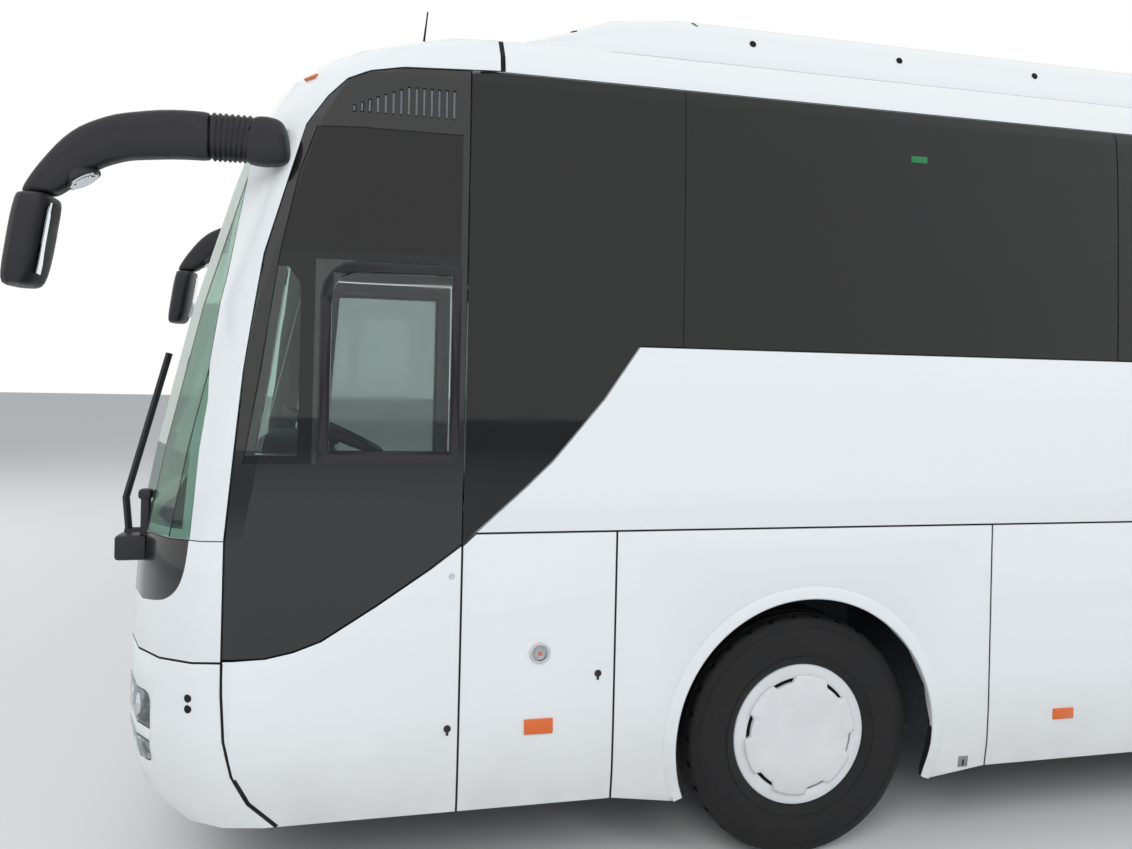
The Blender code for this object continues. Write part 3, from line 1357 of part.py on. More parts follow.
def deck(name, stop, station, inner, which):
    """One length of the stepped floor, from DECK_SPLIT to stop, with its wheel housings and its stair well."""
    outer = HALF_WIDTH + OVERRUN
    under = FLOOR - FLOOR_PLATE
    low = CAB_FLOOR - FLOOR_PLATE
    start = DECK_SPLIT + SEAT_GAP if stop > DECK_SPLIT else DECK_SPLIT
    outline = [(start, under), (CAB_RISER - FLOOR_PLATE, under), (CAB_RISER - FLOOR_PLATE, low), (stop, low)]
    outline += [(stop, CAB_FLOOR), (CAB_RISER, CAB_FLOOR), (CAB_RISER, FLOOR), (start, FLOOR)]
    if stop < DECK_SPLIT:
        outline = [(start, under), (stop, under), (stop, FLOOR), (start, FLOOR)]
    obj = prism(name, outline, -outer, outer, helper=False)
    for side in (1, -1):
        join(obj, housing(f"housing_{station}_{side}", station, side, inner - HOUSING_WALL, HOUSING_WALL))
    for side in (1, -1):
        cut(obj, housing(f"wheel_space_{station}_{side}", station, side, inner, 0))
    low = (station - AXLE_SLOT_HALF, -REAR_HOUSING_INNER, 0)
    high = (station + AXLE_SLOT_HALF, REAR_HOUSING_INNER, AXLE_SLOT_HEAD)
    cut(obj, box(f"axle_slot_{station}", low, high, helper=True))
    start, stop = well_span(which)
    low = (start + STEP_PLATE / 4, -outer, 0)
    high = (stop - STEP_PLATE / 4, STEP_WELL_Y, FLOOR + SEAM)
    cut(obj, box(f"{which}_well", low, high, helper=True))
    join(obj, stairs(which), *cheeks(which))
    shape(obj, "INTERSECT", skin_at(WALL + SEAT_GAP))
    return paint(bake(obj), bits["floor_grey"])


def housing(name, station, side, inner, wall):
    """The space round a wheel, or its housing when a wall is added."""
    half = HOUSING_HALF + wall
    head = HOUSING_HEAD if not wall else FLOOR - FLOOR_PLATE / 2
    foot = HOUSING_FOOT if wall else 0
    shoulder = HOUSING_HEAD - HOUSING_SLOPE
    outline = [(station - half, foot), (station + half, foot), (station + half, shoulder if not wall else head)]
    if not wall:
        outline += [(station + half - HOUSING_SLOPE, head), (station - half + HOUSING_SLOPE, head)]
    outline.append((station - half, shoulder if not wall else head))
    low, high = sorted((side * inner, side * (HALF_WIDTH + OVERRUN)))
    return prism(name, outline, low, high)


def stairs(which):
    """Treads and risers as one folded plate from the door sill up to the floor."""
    front, rear = DOORWAYS[which]
    top = CAB_FLOOR if which == "front_door" else FLOOR
    count = round((top - STEP_FOOT) / STEP_RISE)
    rise = (top - STEP_FOOT) / count
    sill = -(HALF_WIDTH - WALL - SEAM)
    depth = (STEP_WELL_Y + SEAM - sill) / count
    upper, lower = [(sill, STEP_FOOT)], [(sill, STEP_FOOT - STEP_PLATE)]
    for i in range(count):
        y = sill + depth * (i + 1)
        z = STEP_FOOT + rise * i
        upper += [(y, z), (y, z + rise if i < count - 1 else top - FLOOR_PLATE / 2)]
        lower += [(y + STEP_PLATE, z - STEP_PLATE), (y + STEP_PLATE, z + rise - STEP_PLATE)]
    lower[-1] = (lower[-1][0], top - FLOOR_PLATE / 2)
    return prism(f"{which}_stairs", upper + lower[::-1], *well_span(which), "YZ")


def well_span(which):
    """How far the stair well reaches along the coach, past the post."""
    front, rear = DOORWAYS[which]
    return rear - SEAM - STEP_PLATE / 2, front + SEAM + STEP_PLATE / 2


def cheeks(which):
    """The two side plates of a stair well."""
    top = CAB_FLOOR if which == "front_door" else FLOOR
    low, high = well_span(which)
    sill = -(HALF_WIDTH - WALL - SEAM)
    made = []
    for i, x in enumerate((low - STEP_PLATE / 2, high - STEP_PLATE / 2)):
        start = (x, sill - SEAM, STEP_FOOT - STEP_PLATE * 1.5)
        stop = (x + STEP_PLATE, STEP_WELL_Y + SEAM + STEP_PLATE * 1.5, top - FLOOR_PLATE / 3)
        made.append(box(f"{which}_cheek_{i}", start, stop, helper=True))
    return made


# Inside


def dashboard():
    """The moulded desk in front of the driver, with the column up to the wheel."""
    outline = [(DASH_REAR + a * DASH_LENGTH, DASH_FOOT + b * (DASH_HEAD - DASH_FOOT)) for a, b in DASH_SHARES]
    obj = prism("dashboard", outline, STEP_WELL_Y + SEAM, HALF_WIDTH, helper=False)
    shape(obj, "INTERSECT", skin_at(WALL + SEAT_GAP))
    hub = steering_point(-COLUMN_GAP)
    foot = steering_point(-COLUMN_LENGTH)
    join(obj, tube("column", [hub, foot], COLUMN_RADIUS, helper=True, resolution=2))
    return paint(bake(obj), bits["black"])


def steering_axis():
    angle = math.radians(STEERING_TILT)
    return Vector((-math.sin(angle), 0, math.cos(angle)))


def steering_point(along):
    axis = steering_axis()
    return (STEERING_X + axis.x * along, STEERING_Y, STEERING_Z + axis.z * along)


def steering_wheel():
    """A round rim on three flat spokes and a boss."""
    ring = []
    for i in range(STEERING_RIM_SIDES):
        angle = 2 * math.pi * i / STEERING_RIM_SIDES
        radius = STEERING_RADIUS + STEERING_GRIP * math.cos(angle)
        ring.append((radius, STEERING_GRIP * math.sin(angle)))
    obj = ring_body("steering_wheel", ring)
    boss = cylinder("boss", (0, 0, 0), STEERING_BOSS, STEERING_GRIP * 2, "Z", helper=True)
    join(obj, boss)
    for angle in STEERING_SPOKES:
        spoke = box(f"spoke_{angle}", (0, -SPOKE_WIDTH / 2, -SPOKE_WIDTH / 6), (STEERING_RADIUS, SPOKE_WIDTH / 2, SPOKE_WIDTH / 6), helper=True)
        shift = Matrix.Translation((FRONT_AXLE_X, 0, 0))
        spoke.data.transform(shift @ Matrix.Rotation(math.radians(angle), 4, "Z") @ shift.inverted())
        join(obj, spoke)
    bake(obj)
    obj.data.transform(Matrix.Translation((-FRONT_AXLE_X, 0, 0)))
    obj.rotation_euler = (0, -math.radians(STEERING_TILT), 0)
    x, y, z = steering_point(0)
    obj.location = (x + FRONT_AXLE_X, y, z)
    return paint(obj, bits["black"])


def ring_body(name, ring):
    """A closed ring of (radius, height) swept round the upright axis."""
    bm = bmesh.new()
    loops = []
    for i in range(STEERING_STEPS):
        angle = 2 * math.pi * i / STEERING_STEPS
        loops.append([bm.verts.new((r * math.cos(angle) + FRONT_AXLE_X, r * math.sin(angle), z)) for r, z in ring])
    for low, high in zip(loops, loops[1:] + loops[:1]):
        for i in range(len(ring)):
            j = (i + 1) % len(ring)
            bm.faces.new((low[i], low[j], high[j], high[i]))
    return from_bmesh(name, bm)


def seat_outline(x, foot, recline):
    """One seat from the side, facing forward: cushion and backrest; x is the cushion's front."""
    points = []
    for a, b in SEAT_SHARES:
        points.append((x - a * SEAT_LENGTH - recline * max(0, b - 0.5), foot + b * SEAT_HEIGHT))
    return points


def driver_seat():
    low, high = DRIVER_Y - SEAT_WIDTH / 2, DRIVER_Y + SEAT_WIDTH / 2
    foot = CAB_FLOOR + PEDESTAL
    obj = prism("driver_seat", seat_outline(DRIVER_SEAT_X, foot, RECLINE), low, high, helper=False)
    start = (DRIVER_SEAT_X - SEAT_LENGTH + SEAM, DRIVER_Y - SEAT_WIDTH / 3, CAB_FLOOR + SEAT_GAP)
    stop = (DRIVER_SEAT_X - SEAT_LENGTH / 3, DRIVER_Y + SEAT_WIDTH / 3, foot + SEAT_HEIGHT * 0.45)
    join(obj, box("pedestal", start, stop, helper=True))
    return paint(bake(obj), bits["fabric"])


def seat_rows(side, name):
    """Pairs of seats on legs along one side, all joined by their floor rail."""
    first = SEAT_FIRST if side > 0 else SEAT_FIRST - 2 * SEAT_PITCH
    stations = [first - SEAT_PITCH * i for i in range(SEAT_ROWS)]
    stations = [x for x in stations if x > SEAT_LAST and not (side < 0 and in_mid_well(x))]
    inner = AISLE_HALF
    outer = inner + 2 * SEAT_WIDTH
    low, high = sorted((side * inner, side * outer))
    rail_y = sorted((side * (inner + SEAT_WIDTH * 0.9), side * (inner + SEAT_WIDTH * 1.1)))
    runs = [stations] if side > 0 else [stations]
    foot = FLOOR + SEAT_LEG
    rail = (stations[-1] - SEAT_LENGTH, rail_y[0], FLOOR + SEAT_GAP)
    obj = box(name, rail, (stations[0], rail_y[1], FLOOR + RAIL_PLATE))
    for i, x in enumerate(stations):
        start = (x - SEAT_LENGTH * 0.75, rail_y[0], FLOOR + RAIL_PLATE / 2)
        stop = (x - SEAT_LENGTH * 0.35, rail_y[1], foot + SEAT_HEIGHT * 0.33)
        join(obj, box(f"{name}_leg_{i}", start, stop, helper=True))
        join(obj, prism(f"{name}_seat_{i}", seat_outline(x, foot, RECLINE), low, high))
    return paint(bake(obj), bits["fabric"])


def in_mid_well(x):
    front, rear = DOORWAYS["mid_door"]
    return x - SEAT_LENGTH - RECLINE < front + SEAM and x > rear - SEAM


def engine_block():
    """One plain block at the engine's place and size."""
    low = (ENGINE_FRONT - ENGINE_LENGTH, -ENGINE_WIDTH / 2, ENGINE_FOOT)
    obj = box("engine_block", low, (ENGINE_FRONT, ENGINE_WIDTH / 2, ENGINE_FOOT + ENGINE_DEPTH))
    for i, x in enumerate((ENGINE_FRONT - ENGINE_LENGTH * 0.2, ENGINE_FRONT - ENGINE_LENGTH * 0.8)):
        reach = RAIL_Y + RAIL_WIDTH / 2
        foot = ENGINE_MOUNT_Z
        low = (x - CROSS_WIDTH / 2, -reach, RAIL_TOP + SEAT_GAP)
        high = (x + CROSS_WIDTH / 2, reach, RAIL_TOP + CROSS_WIDTH)
        join(obj, box(f"engine_foot_{i}", low, high, helper=True))
    return paint(bake(obj), bits["iron"])


# Outside fittings


def oval_ring(x, y, z, tall, wide, lean, sides=8):
    """A rounded ring across a path; lean turns it about Y, in degrees from upright."""
    points = []
    tilt = math.radians(lean)
    for i in range(sides):
        angle = 2 * math.pi * (i + 0.5) / sides
        c, s = math.cos(angle), math.sin(angle)
        across = wide / 2 * math.copysign(abs(c) ** OVAL, c)
        up = tall / 2 * math.copysign(abs(s) ** OVAL, s)
        points.append((x + up * math.sin(tilt), y + across, z + up * math.cos(tilt)))
    return points


def mirror(side, name):
    """The arm reaching forward from the pillar, with the head hanging from its end."""
    rings = []
    for run, drop, tall, wide, lean in MIRROR_ARM:
        x = MIRROR_BASE + run * MIRROR_REACH
        z = MIRROR_HEIGHT - drop * MIRROR_DROP
        rings.append(oval_ring(x, side * MIRROR_Y, z, tall * MIRROR_TALL, wide * MIRROR_WIDE, lean))
    obj = loft(name, rings)
    rings = []
    for drop, ahead, long, wide in MIRROR_HEAD:
        x = MIRROR_BASE + MIRROR_REACH + ahead * MIRROR_HEAD_LONG
        z = MIRROR_HEIGHT - MIRROR_DROP - drop * MIRROR_HEAD_TALL
        rings.append(oval_ring(x, side * MIRROR_Y, z, long * MIRROR_HEAD_LONG, wide * MIRROR_HEAD_WIDE, 90))
    join(obj, loft(f"{name}_head", rings, helper=True))
    cut(obj, skin_at(-SEAT_GAP))
    return paint(bake(obj), bits["mirror_black"])


def wiper(side, name):
    """A pivot boss on the mask with the arm and blade lying up the screen."""
    y = side * WIPER_Y
    foot = SCREEN_FOOT - WIPER_DROP
    obj = cylinder(name, (WIPER_X, y, foot), WIPER_BOSS, WIPER_BOSS_LENGTH, "X", sides=12)
    x = WIPER_X + WIPER_BOSS_LENGTH / 2 - WIPER_RADIUS
    knee = (x + WIPER_RADIUS, y, foot + WIPER_LENGTH * 0.2)
    tip = (x - WIPER_LEAN, y - side * WIPER_SLANT, foot + WIPER_LENGTH)
    join(obj, tube(f"{name}_arm", [(x, y, foot), knee, tip], WIPER_RADIUS, helper=True))
    cut(obj, skin_at(-SEAT_GAP))
    return paint(bake(obj), bits["mirror_black"])


def make_materials():
    table = [
        ("white", "E9ECEE", 0.25, 0.0, 1),
        ("trim_white", "E4E6E8", 0.35, 0.0, 1),
        ("black", "0C0D10", 0.15, 0.0, 1),
        ("dark_glass", "10151A", 0.05, 0.0, 0.6),
        ("screen_glass", "5E7A70", 0.05, 0.0, 0.4),
        ("lamp", "C9CED2", 0.10, 0.3, 1),
        ("mirror_black", "1C1C20", 0.5, 0.0, 1),
        ("rubber", "1A1A1C", 0.8, 0.0, 1),
        ("iron", "2A2C2E", 0.6, 0.4, 1),
        ("steel", "8A8D90", 0.35, 0.9, 1),
        ("floor_grey", "54575B", 0.7, 0.0, 1),
        ("fabric", "2B3A55", 0.9, 0.0, 1),
    ]
    for name, colour, roughness, metallic, alpha in table:
        bits[name] = finish(name, colour, roughness, metallic, alpha)


def main():
    clear_scene()
    bits["parts"] = collection(COACH)
    bits["cutters"] = collection("cutters")
    make_materials()
    for side, word in ((1, "left"), (-1, "right")):
        belt(side, f"side_wall_{word}")
        side_glass(side, f"side_glass_{word}")
        arch_panel(side, f"arch_panel_{word}")
        rear_quarter(side, f"rear_quarter_{word}")
        headlamp(side, f"headlamp_{word}")
        mirror(side, f"mirror_{word}")
        knuckle(side, f"knuckle_{word}")
        seat_rows(side, f"seats_{word}")
        wiper(side, f"wiper_{word}")
    luggage_flap("luggage_flap_left_front", 1, ARCH_REAR, BAY_SPLIT)
    luggage_flap("luggage_flap_left_rear", 1, BAY_SPLIT, QUARTER_FRONT)
    luggage_flap("luggage_flap_right_front", -1, ARCH_REAR, BAY_SPLIT)
    luggage_flap("luggage_flap_right_rear", -1, BAY_SPLIT, MID_DOOR_FRONT)
    front_service_flap()
    mid_service_flap()
    driver_panel()
    driver_glass()
    driver_sash()
    front_bumper()
    front_mask()
    front_hoop()
    windscreen()
    roof()
    roof_pod()
    rear_wall()
    rear_glass()
    engine_lid()
    for which in DOORWAYS:
        door(which)
        door_arm(which)
    for side, word in ((1, "left"), (-1, "right")):
        rim(f"rim_front_{word}", side, 0, False)
        rim(f"rim_rear_{word}", side, -WHEELBASE, True)
        tyre(f"tyre_front_{word}", side * WHEEL_TRACK_HALF, side, 0)
        tyre(f"tyre_rear_{word}_outer", side * WHEEL_TRACK_HALF, side, -WHEELBASE)
        tyre(f"tyre_rear_{word}_inner", side * (WHEEL_TRACK_HALF - TWIN_SPACING), side, -WHEELBASE)
    front_axle()
    rear_axle()
    underbody()
    deck("cab_deck", CAB_FRONT, 0, HOUSING_INNER, "front_door")
    deck("floor_deck", REAR_CAP_FRONT - FLOOR_END, -WHEELBASE, REAR_HOUSING_INNER, "mid_door")
    dashboard()
    steering_wheel()
    driver_seat()
    engine_block()


if __name__ == "__main__":
    main()
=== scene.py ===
"""Looks of a two-axle touring coach: finishes of its panels, and the pieces drawn over its frame."""

import json
import math

import bmesh
import bpy
from mathutils import Matrix, Vector
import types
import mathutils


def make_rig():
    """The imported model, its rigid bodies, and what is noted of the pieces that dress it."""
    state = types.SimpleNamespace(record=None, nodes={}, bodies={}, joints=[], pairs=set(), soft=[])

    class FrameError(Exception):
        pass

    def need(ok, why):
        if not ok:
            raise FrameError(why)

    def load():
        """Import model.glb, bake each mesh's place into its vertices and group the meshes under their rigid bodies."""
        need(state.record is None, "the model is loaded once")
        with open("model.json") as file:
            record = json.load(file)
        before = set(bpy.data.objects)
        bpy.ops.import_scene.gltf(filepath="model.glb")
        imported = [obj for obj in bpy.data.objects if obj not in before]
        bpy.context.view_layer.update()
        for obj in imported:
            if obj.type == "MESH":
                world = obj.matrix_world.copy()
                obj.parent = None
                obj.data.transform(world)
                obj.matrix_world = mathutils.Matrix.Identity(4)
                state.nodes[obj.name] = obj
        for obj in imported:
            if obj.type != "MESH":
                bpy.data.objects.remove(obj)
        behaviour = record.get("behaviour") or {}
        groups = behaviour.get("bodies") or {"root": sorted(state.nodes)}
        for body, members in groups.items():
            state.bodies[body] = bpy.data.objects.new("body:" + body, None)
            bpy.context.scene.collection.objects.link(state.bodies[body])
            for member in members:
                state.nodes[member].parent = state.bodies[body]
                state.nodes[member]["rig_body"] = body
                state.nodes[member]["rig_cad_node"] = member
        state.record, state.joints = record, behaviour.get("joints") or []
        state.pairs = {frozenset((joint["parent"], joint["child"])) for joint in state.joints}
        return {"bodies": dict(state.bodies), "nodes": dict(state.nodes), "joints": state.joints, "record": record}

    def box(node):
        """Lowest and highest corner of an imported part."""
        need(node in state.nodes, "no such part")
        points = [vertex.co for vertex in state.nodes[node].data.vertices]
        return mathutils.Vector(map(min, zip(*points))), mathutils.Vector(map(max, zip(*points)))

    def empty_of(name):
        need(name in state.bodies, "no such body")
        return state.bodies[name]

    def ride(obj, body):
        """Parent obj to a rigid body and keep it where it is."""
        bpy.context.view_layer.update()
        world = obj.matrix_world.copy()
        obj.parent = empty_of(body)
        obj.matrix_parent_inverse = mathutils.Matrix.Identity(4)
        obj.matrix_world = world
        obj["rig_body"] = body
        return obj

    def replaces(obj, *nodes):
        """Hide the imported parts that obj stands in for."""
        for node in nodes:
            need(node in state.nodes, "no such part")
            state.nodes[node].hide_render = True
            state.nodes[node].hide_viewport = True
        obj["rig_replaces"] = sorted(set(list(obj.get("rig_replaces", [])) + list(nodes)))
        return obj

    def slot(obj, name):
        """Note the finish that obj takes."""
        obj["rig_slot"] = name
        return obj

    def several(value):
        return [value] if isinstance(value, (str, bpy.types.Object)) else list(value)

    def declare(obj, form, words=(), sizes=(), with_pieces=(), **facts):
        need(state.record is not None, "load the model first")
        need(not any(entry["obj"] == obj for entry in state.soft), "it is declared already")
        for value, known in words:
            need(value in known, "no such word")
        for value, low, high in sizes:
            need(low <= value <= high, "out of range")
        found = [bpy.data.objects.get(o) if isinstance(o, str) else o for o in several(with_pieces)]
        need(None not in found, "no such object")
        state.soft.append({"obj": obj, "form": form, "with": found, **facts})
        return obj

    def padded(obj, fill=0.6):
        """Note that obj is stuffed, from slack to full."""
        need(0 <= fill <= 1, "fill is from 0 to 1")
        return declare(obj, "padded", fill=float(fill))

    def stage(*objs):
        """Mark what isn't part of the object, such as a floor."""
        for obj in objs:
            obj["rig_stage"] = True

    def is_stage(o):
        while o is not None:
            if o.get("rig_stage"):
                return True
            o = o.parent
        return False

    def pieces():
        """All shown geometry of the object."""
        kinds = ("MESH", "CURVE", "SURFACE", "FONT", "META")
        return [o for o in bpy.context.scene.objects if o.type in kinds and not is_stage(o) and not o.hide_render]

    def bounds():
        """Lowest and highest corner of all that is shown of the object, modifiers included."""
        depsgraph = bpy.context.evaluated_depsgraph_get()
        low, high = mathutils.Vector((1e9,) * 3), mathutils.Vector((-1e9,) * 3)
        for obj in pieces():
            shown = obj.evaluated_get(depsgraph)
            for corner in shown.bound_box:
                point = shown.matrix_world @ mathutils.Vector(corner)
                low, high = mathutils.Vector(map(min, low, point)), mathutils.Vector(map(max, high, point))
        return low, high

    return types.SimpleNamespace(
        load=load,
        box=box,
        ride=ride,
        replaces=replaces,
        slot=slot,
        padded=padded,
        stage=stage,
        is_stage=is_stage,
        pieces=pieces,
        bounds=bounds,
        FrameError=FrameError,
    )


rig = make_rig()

bl_info = {
    "name": "Touring coach looks",
    "version": (1, 0, 0),
    "blender": (4, 5, 0),
    "location": "3D View > Sidebar > Coach",
    "description": "Finishes, wheels, lamps, mirrors, seats and stage of a touring coach",
    "category": "Object",
}

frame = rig.load()
CAD_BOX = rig.bounds()

# Places, in metres; y is to the coach's left and x to its front
SKIN_Y = 1.275
FRONT_AXLE = Vector((3.02, 1.078, 0.518))
REAR_AXLE = Vector((-3.04, 1.078, 0.518))
TWIN_SPACING = 0.335
WINDOW_FOOT = 2.176
WINDOW_HEAD = 3.246
FLOOR = 1.350
CAB_FLOOR = 1.050
SIDES = ((1, "left"), (-1, "right"))

# Louvre over the driver's window: its blades, and the one from which their heads fall towards the front
BLADES, BLADE_LEVEL = 14, 6
BLADE_FIRST, BLADE_PITCH = 1.5515, 0.029
BLADE_FOOT, BLADE_HEAD, BLADE_FALL = 3.035, 3.150, 0.012

# Door panes: foot and head of the glass, its margin to the leaf's ends, and the lean of the front one's edge
DOOR_PANE = (1.000, 2.530)
PANE_MARGIN = 0.090
PANE_STEPS = 12
DOOR_LEAN = 0.0653
DOOR_ENDS = {which: (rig.box(which)[0].x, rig.box(which)[1].x) for which in ("front_door", "mid_door")}

# Seats: where their fronts stand on each side, and how far places and legs are from the coach's middle
SEAT_STATIONS = {
    1: [3.58 - 0.78 * i for i in range(12)],
    -1: [2.02, 1.24, 0.46, -0.32, -2.66, -3.44, -4.22, -5.00],
}
SEAT_PLACES = (0.49, 0.93)
LEG_PLACE = 0.71

# Fittings that come more than once: long, tall and thick, and the height that they sit at
REFLECTOR, REFLECTOR_HEIGHT = (0.110, 0.050, 0.006), 0.560
BAY_LOCK, BAY_LOCK_HEIGHT = (0.075, 0.045, 0.004), 0.460
NUMBER_PLATE = (0.520, 0.120, 0.004, 0.003)

# Packed panels that get rolled edges, and the start of those that are bodies of their own
PANELS = (
    "arch_panel_left arch_panel_right front_bumper front_hoop front_mask roof roof_pod rear_wall "
    "rear_quarter_left rear_quarter_right engine_lid front_door mid_door luggage_flap_left_front "
    "luggage_flap_left_rear luggage_flap_right_front luggage_flap_right_rear service_flap_front "
    "service_flap_mid side_wall_left side_wall_right"
).split()
PANEL_FINISHES = {
    "front_mask": "mask_paint",
    "side_wall_left": "wall_paint",
    "side_wall_right": "wall_paint",
}
OWN_BODIES = ("engine_lid", "front_door", "mid_door", "luggage_flap", "service_flap")

TYRE_STEPS = 120
BEHIND = -0.004  # how far fittings reach into the panel that they lie on
SMOOTH = math.radians(32)
PANEL_SMOOTH = math.radians(44)
BLACK = "0B0C0D"

finishes = {}


# Small tools


def fresh():
    """Object mode with nothing selected."""
    if bpy.context.object and bpy.context.object.mode != "OBJECT":
        bpy.ops.object.mode_set(mode="OBJECT")
    bpy.ops.object.select_all(action="DESELECT")


def take(name):
    """Names the primitive that was just added."""
    obj = bpy.context.object
    obj.name = name
    obj.data.name = name
    return obj


def only(obj):
    fresh()
    obj.select_set(True)
    bpy.context.view_layer.objects.active = obj
    return obj


def select_faces(obj, test):
    """Edit mode with the faces selected whose centre and normal pass the test."""
    only(obj)
    bpy.ops.object.mode_set(mode="EDIT")
    bpy.ops.mesh.select_mode(type="FACE")
    bpy.ops.mesh.select_all(action="DESELECT")
    bm = bmesh.from_edit_mesh(obj.data)
    for face in bm.faces:
        face.select_set(test(face.calc_center_median(), face.normal))
    bm.select_flush_mode()
    bmesh.update_edit_mesh(obj.data)


def keep_faces(obj, test):
    select_faces(obj, lambda c, n: not test(c, n))
    bpy.ops.mesh.delete(type="FACE")
    bpy.ops.object.mode_set(mode="OBJECT")
    return obj


def modify(obj, kind, **settings):
    """Adds a modifier and applies it."""
    only(obj)
    modifier = obj.modifiers.new(kind.title(), kind)
    for key, value in settings.items():
        setattr(modifier, key, value)
    bpy.ops.object.modifier_apply(modifier=modifier.name)
    return obj


def bevelled(obj, width, segments=2):
    return modify(obj, "BEVEL", width=width, segments=segments, limit_method="ANGLE", angle_limit=SMOOTH)


def block(name, low, high, round_by=0.004):
    """A box between two corners with rounded edges."""
    fresh()
    low, high = Vector(low), Vector(high)
    bpy.ops.mesh.primitive_cube_add(size=1, location=(low + high) / 2)
    obj = take(name)
    obj.scale = high - low
    bpy.ops.object.transform_apply(location=True, rotation=True, scale=True)
    return bevelled(obj, round_by) if round_by else obj


def turned(name, profile, centre, axis="Y", steps=48, closed=False):
    """A profile of (radius, distance along the axis) pairs extruded by point, then spun round the axis."""
    fresh()
    centre = Vector(centre)
    across = (0, 1, 0) if axis == "X" else (1, 0, 0)
    along = {"X": (1, 0, 0), "Y": (0, 1, 0), "Z": (0, 0, 1)}[axis]
    points = [centre + Vector(across) * r + Vector(along) * a for r, a in profile]
    bpy.ops.mesh.primitive_plane_add(size=1, location=points[0])
    obj = take(name)
    bpy.ops.object.transform_apply(location=True, rotation=True, scale=True)
    bpy.ops.object.mode_set(mode="EDIT")
    bpy.ops.mesh.select_mode(type="VERT")
    bpy.ops.mesh.select_all(action="SELECT")
    bpy.ops.mesh.merge(type="CENTER")
    loop = points[1:] + (points[:1] if closed else [])
    for last, point in zip(points, loop):
        bpy.ops.mesh.extrude_region_move(TRANSFORM_OT_translate={"value": point - last})
    bpy.ops.mesh.select_all(action="SELECT")
    bpy.ops.mesh.spin(steps=steps, angle=2 * math.pi, center=centre, axis=along)
    bpy.ops.mesh.select_all(action="SELECT")
    bpy.ops.mesh.remove_doubles(threshold=0.00005)
    bpy.ops.mesh.normals_make_consistent(inside=False)
    bpy.ops.object.mode_set(mode="OBJECT")
    return obj


def rings(name, loops):
    """A tube drawn from a circle by one extrusion per ring, each ring then laid on its own points."""
    fresh()
    bpy.ops.mesh.primitive_circle_add(vertices=len(loops[0]), fill_type="NOTHING")
    obj = take(name)
    bpy.ops.object.mode_set(mode="EDIT")
    bpy.ops.mesh.select_all(action="SELECT")
    bpy.ops.mesh.edge_face_add()
    for i, loop in enumerate(loops):
        if i:
            bpy.ops.mesh.extrude_region_move()
        bm = bmesh.from_edit_mesh(obj.data)
        for vert, place in zip([v for v in bm.verts if v.select], loop):
            vert.co = place
        bmesh.update_edit_mesh(obj.data)
        if not i:
            bpy.ops.mesh.select_all(action="SELECT")
    bpy.ops.mesh.select_all(action="SELECT")
    bpy.ops.mesh.normals_make_consistent(inside=False)
    bpy.ops.object.mode_set(mode="OBJECT")
    return obj


def plate(name, outline, low, high, plane="XZ", round_by=0.002):
    """A flat outline drawn from a circle's points, filled and extruded from low to high across its plane."""
    def place(a, b, c):
        return {"XZ": (a, c, b), "YZ": (c, a, b), "XY": (a, b, c)}[plane]

    obj = rings(name, [[place(a, b, low) for a, b in outline], [place(a, b, high) for a, b in outline]])
    return bevelled(obj, round_by) if round_by else obj


def copy_of(node_name, name, shrink=0):
    """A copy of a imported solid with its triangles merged, drawn in by a small amount."""
    fresh()
    obj = frame["nodes"][node_name].copy()
    obj.data = obj.data.copy()
    obj.name = obj.data.name = name
    for key in list(obj.keys()):
        del obj[key]
    obj.parent = None
    bpy.context.scene.collection.objects.link(obj)
    only(obj)
    obj.hide_render = obj.hide_viewport = False
    bpy.ops.object.mode_set(mode="EDIT")
    bpy.ops.mesh.select_all(action="SELECT")
    bpy.ops.mesh.remove_doubles(threshold=0.00002)
    if shrink:
        bpy.ops.transform.shrink_fatten(value=-shrink, use_even_offset=True)
    bpy.ops.object.mode_set(mode="OBJECT")
    return obj


def joined(objs, name=None):
    """Joins pieces into the first one, under its own name or a new one."""
    only(objs[0])
    for obj in objs:
        obj.select_set(True)
    bpy.ops.object.join()
    return take(name) if name else bpy.context.object


def moved_copy(obj, name, shift=(0, 0, 0), mirror=False):
    """A copy with its own mesh, shifted and, for the other side, mirrored in y."""
    twin = obj.copy()
    twin.data = obj.data.copy()
    twin.name = twin.data.name = name
    bpy.context.scene.collection.objects.link(twin)
    turn = Matrix.Scale(-1, 4, (0, 1, 0)) if mirror else Matrix.Identity(4)
    twin.data.transform(Matrix.Translation(shift) @ turn)
    if mirror:
        twin.data.flip_normals()
    return twin


def dress(obj, body, finish, slot=None, smooth=SMOOTH):
    """Smooths a finished piece, gives it its finish and lets it ride on its body."""
    only(obj)
    bpy.ops.object.shade_smooth_by_angle(angle=smooth)
    obj.data.materials.clear()
    obj.data.materials.append(finishes[finish])
    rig.ride(obj, body)
    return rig.slot(obj, slot) if slot else obj


def on_both(obj, name, body, finish, slot=None):
    """Dresses a left-hand piece and its mirrored copy on the right."""
    twin = moved_copy(obj, f"{name}_right", mirror=True)
    obj.name = obj.data.name = f"{name}_left"
    dress(obj, body.replace("SIDE", "left"), finish, slot)
    dress(twin, body.replace("SIDE", "right"), finish, slot)
    return obj, twin


# Finishes


def linear(text):
    """An sRGB hex colour as the linear colour that nodes take."""
    parts = [int(text[i : i + 2], 16) / 255 for i in (0, 2, 4)]
    return tuple(c / 12.92 if c <= 0.04045 else ((c + 0.055) / 1.055) ** 2.4 for c in parts) + (1,)


def shown(colour):
    """A property's colour, which is kept as it shows on screen, as hex."""
    return "%02X%02X%02X" % tuple(round(c * 255) for c in colour)


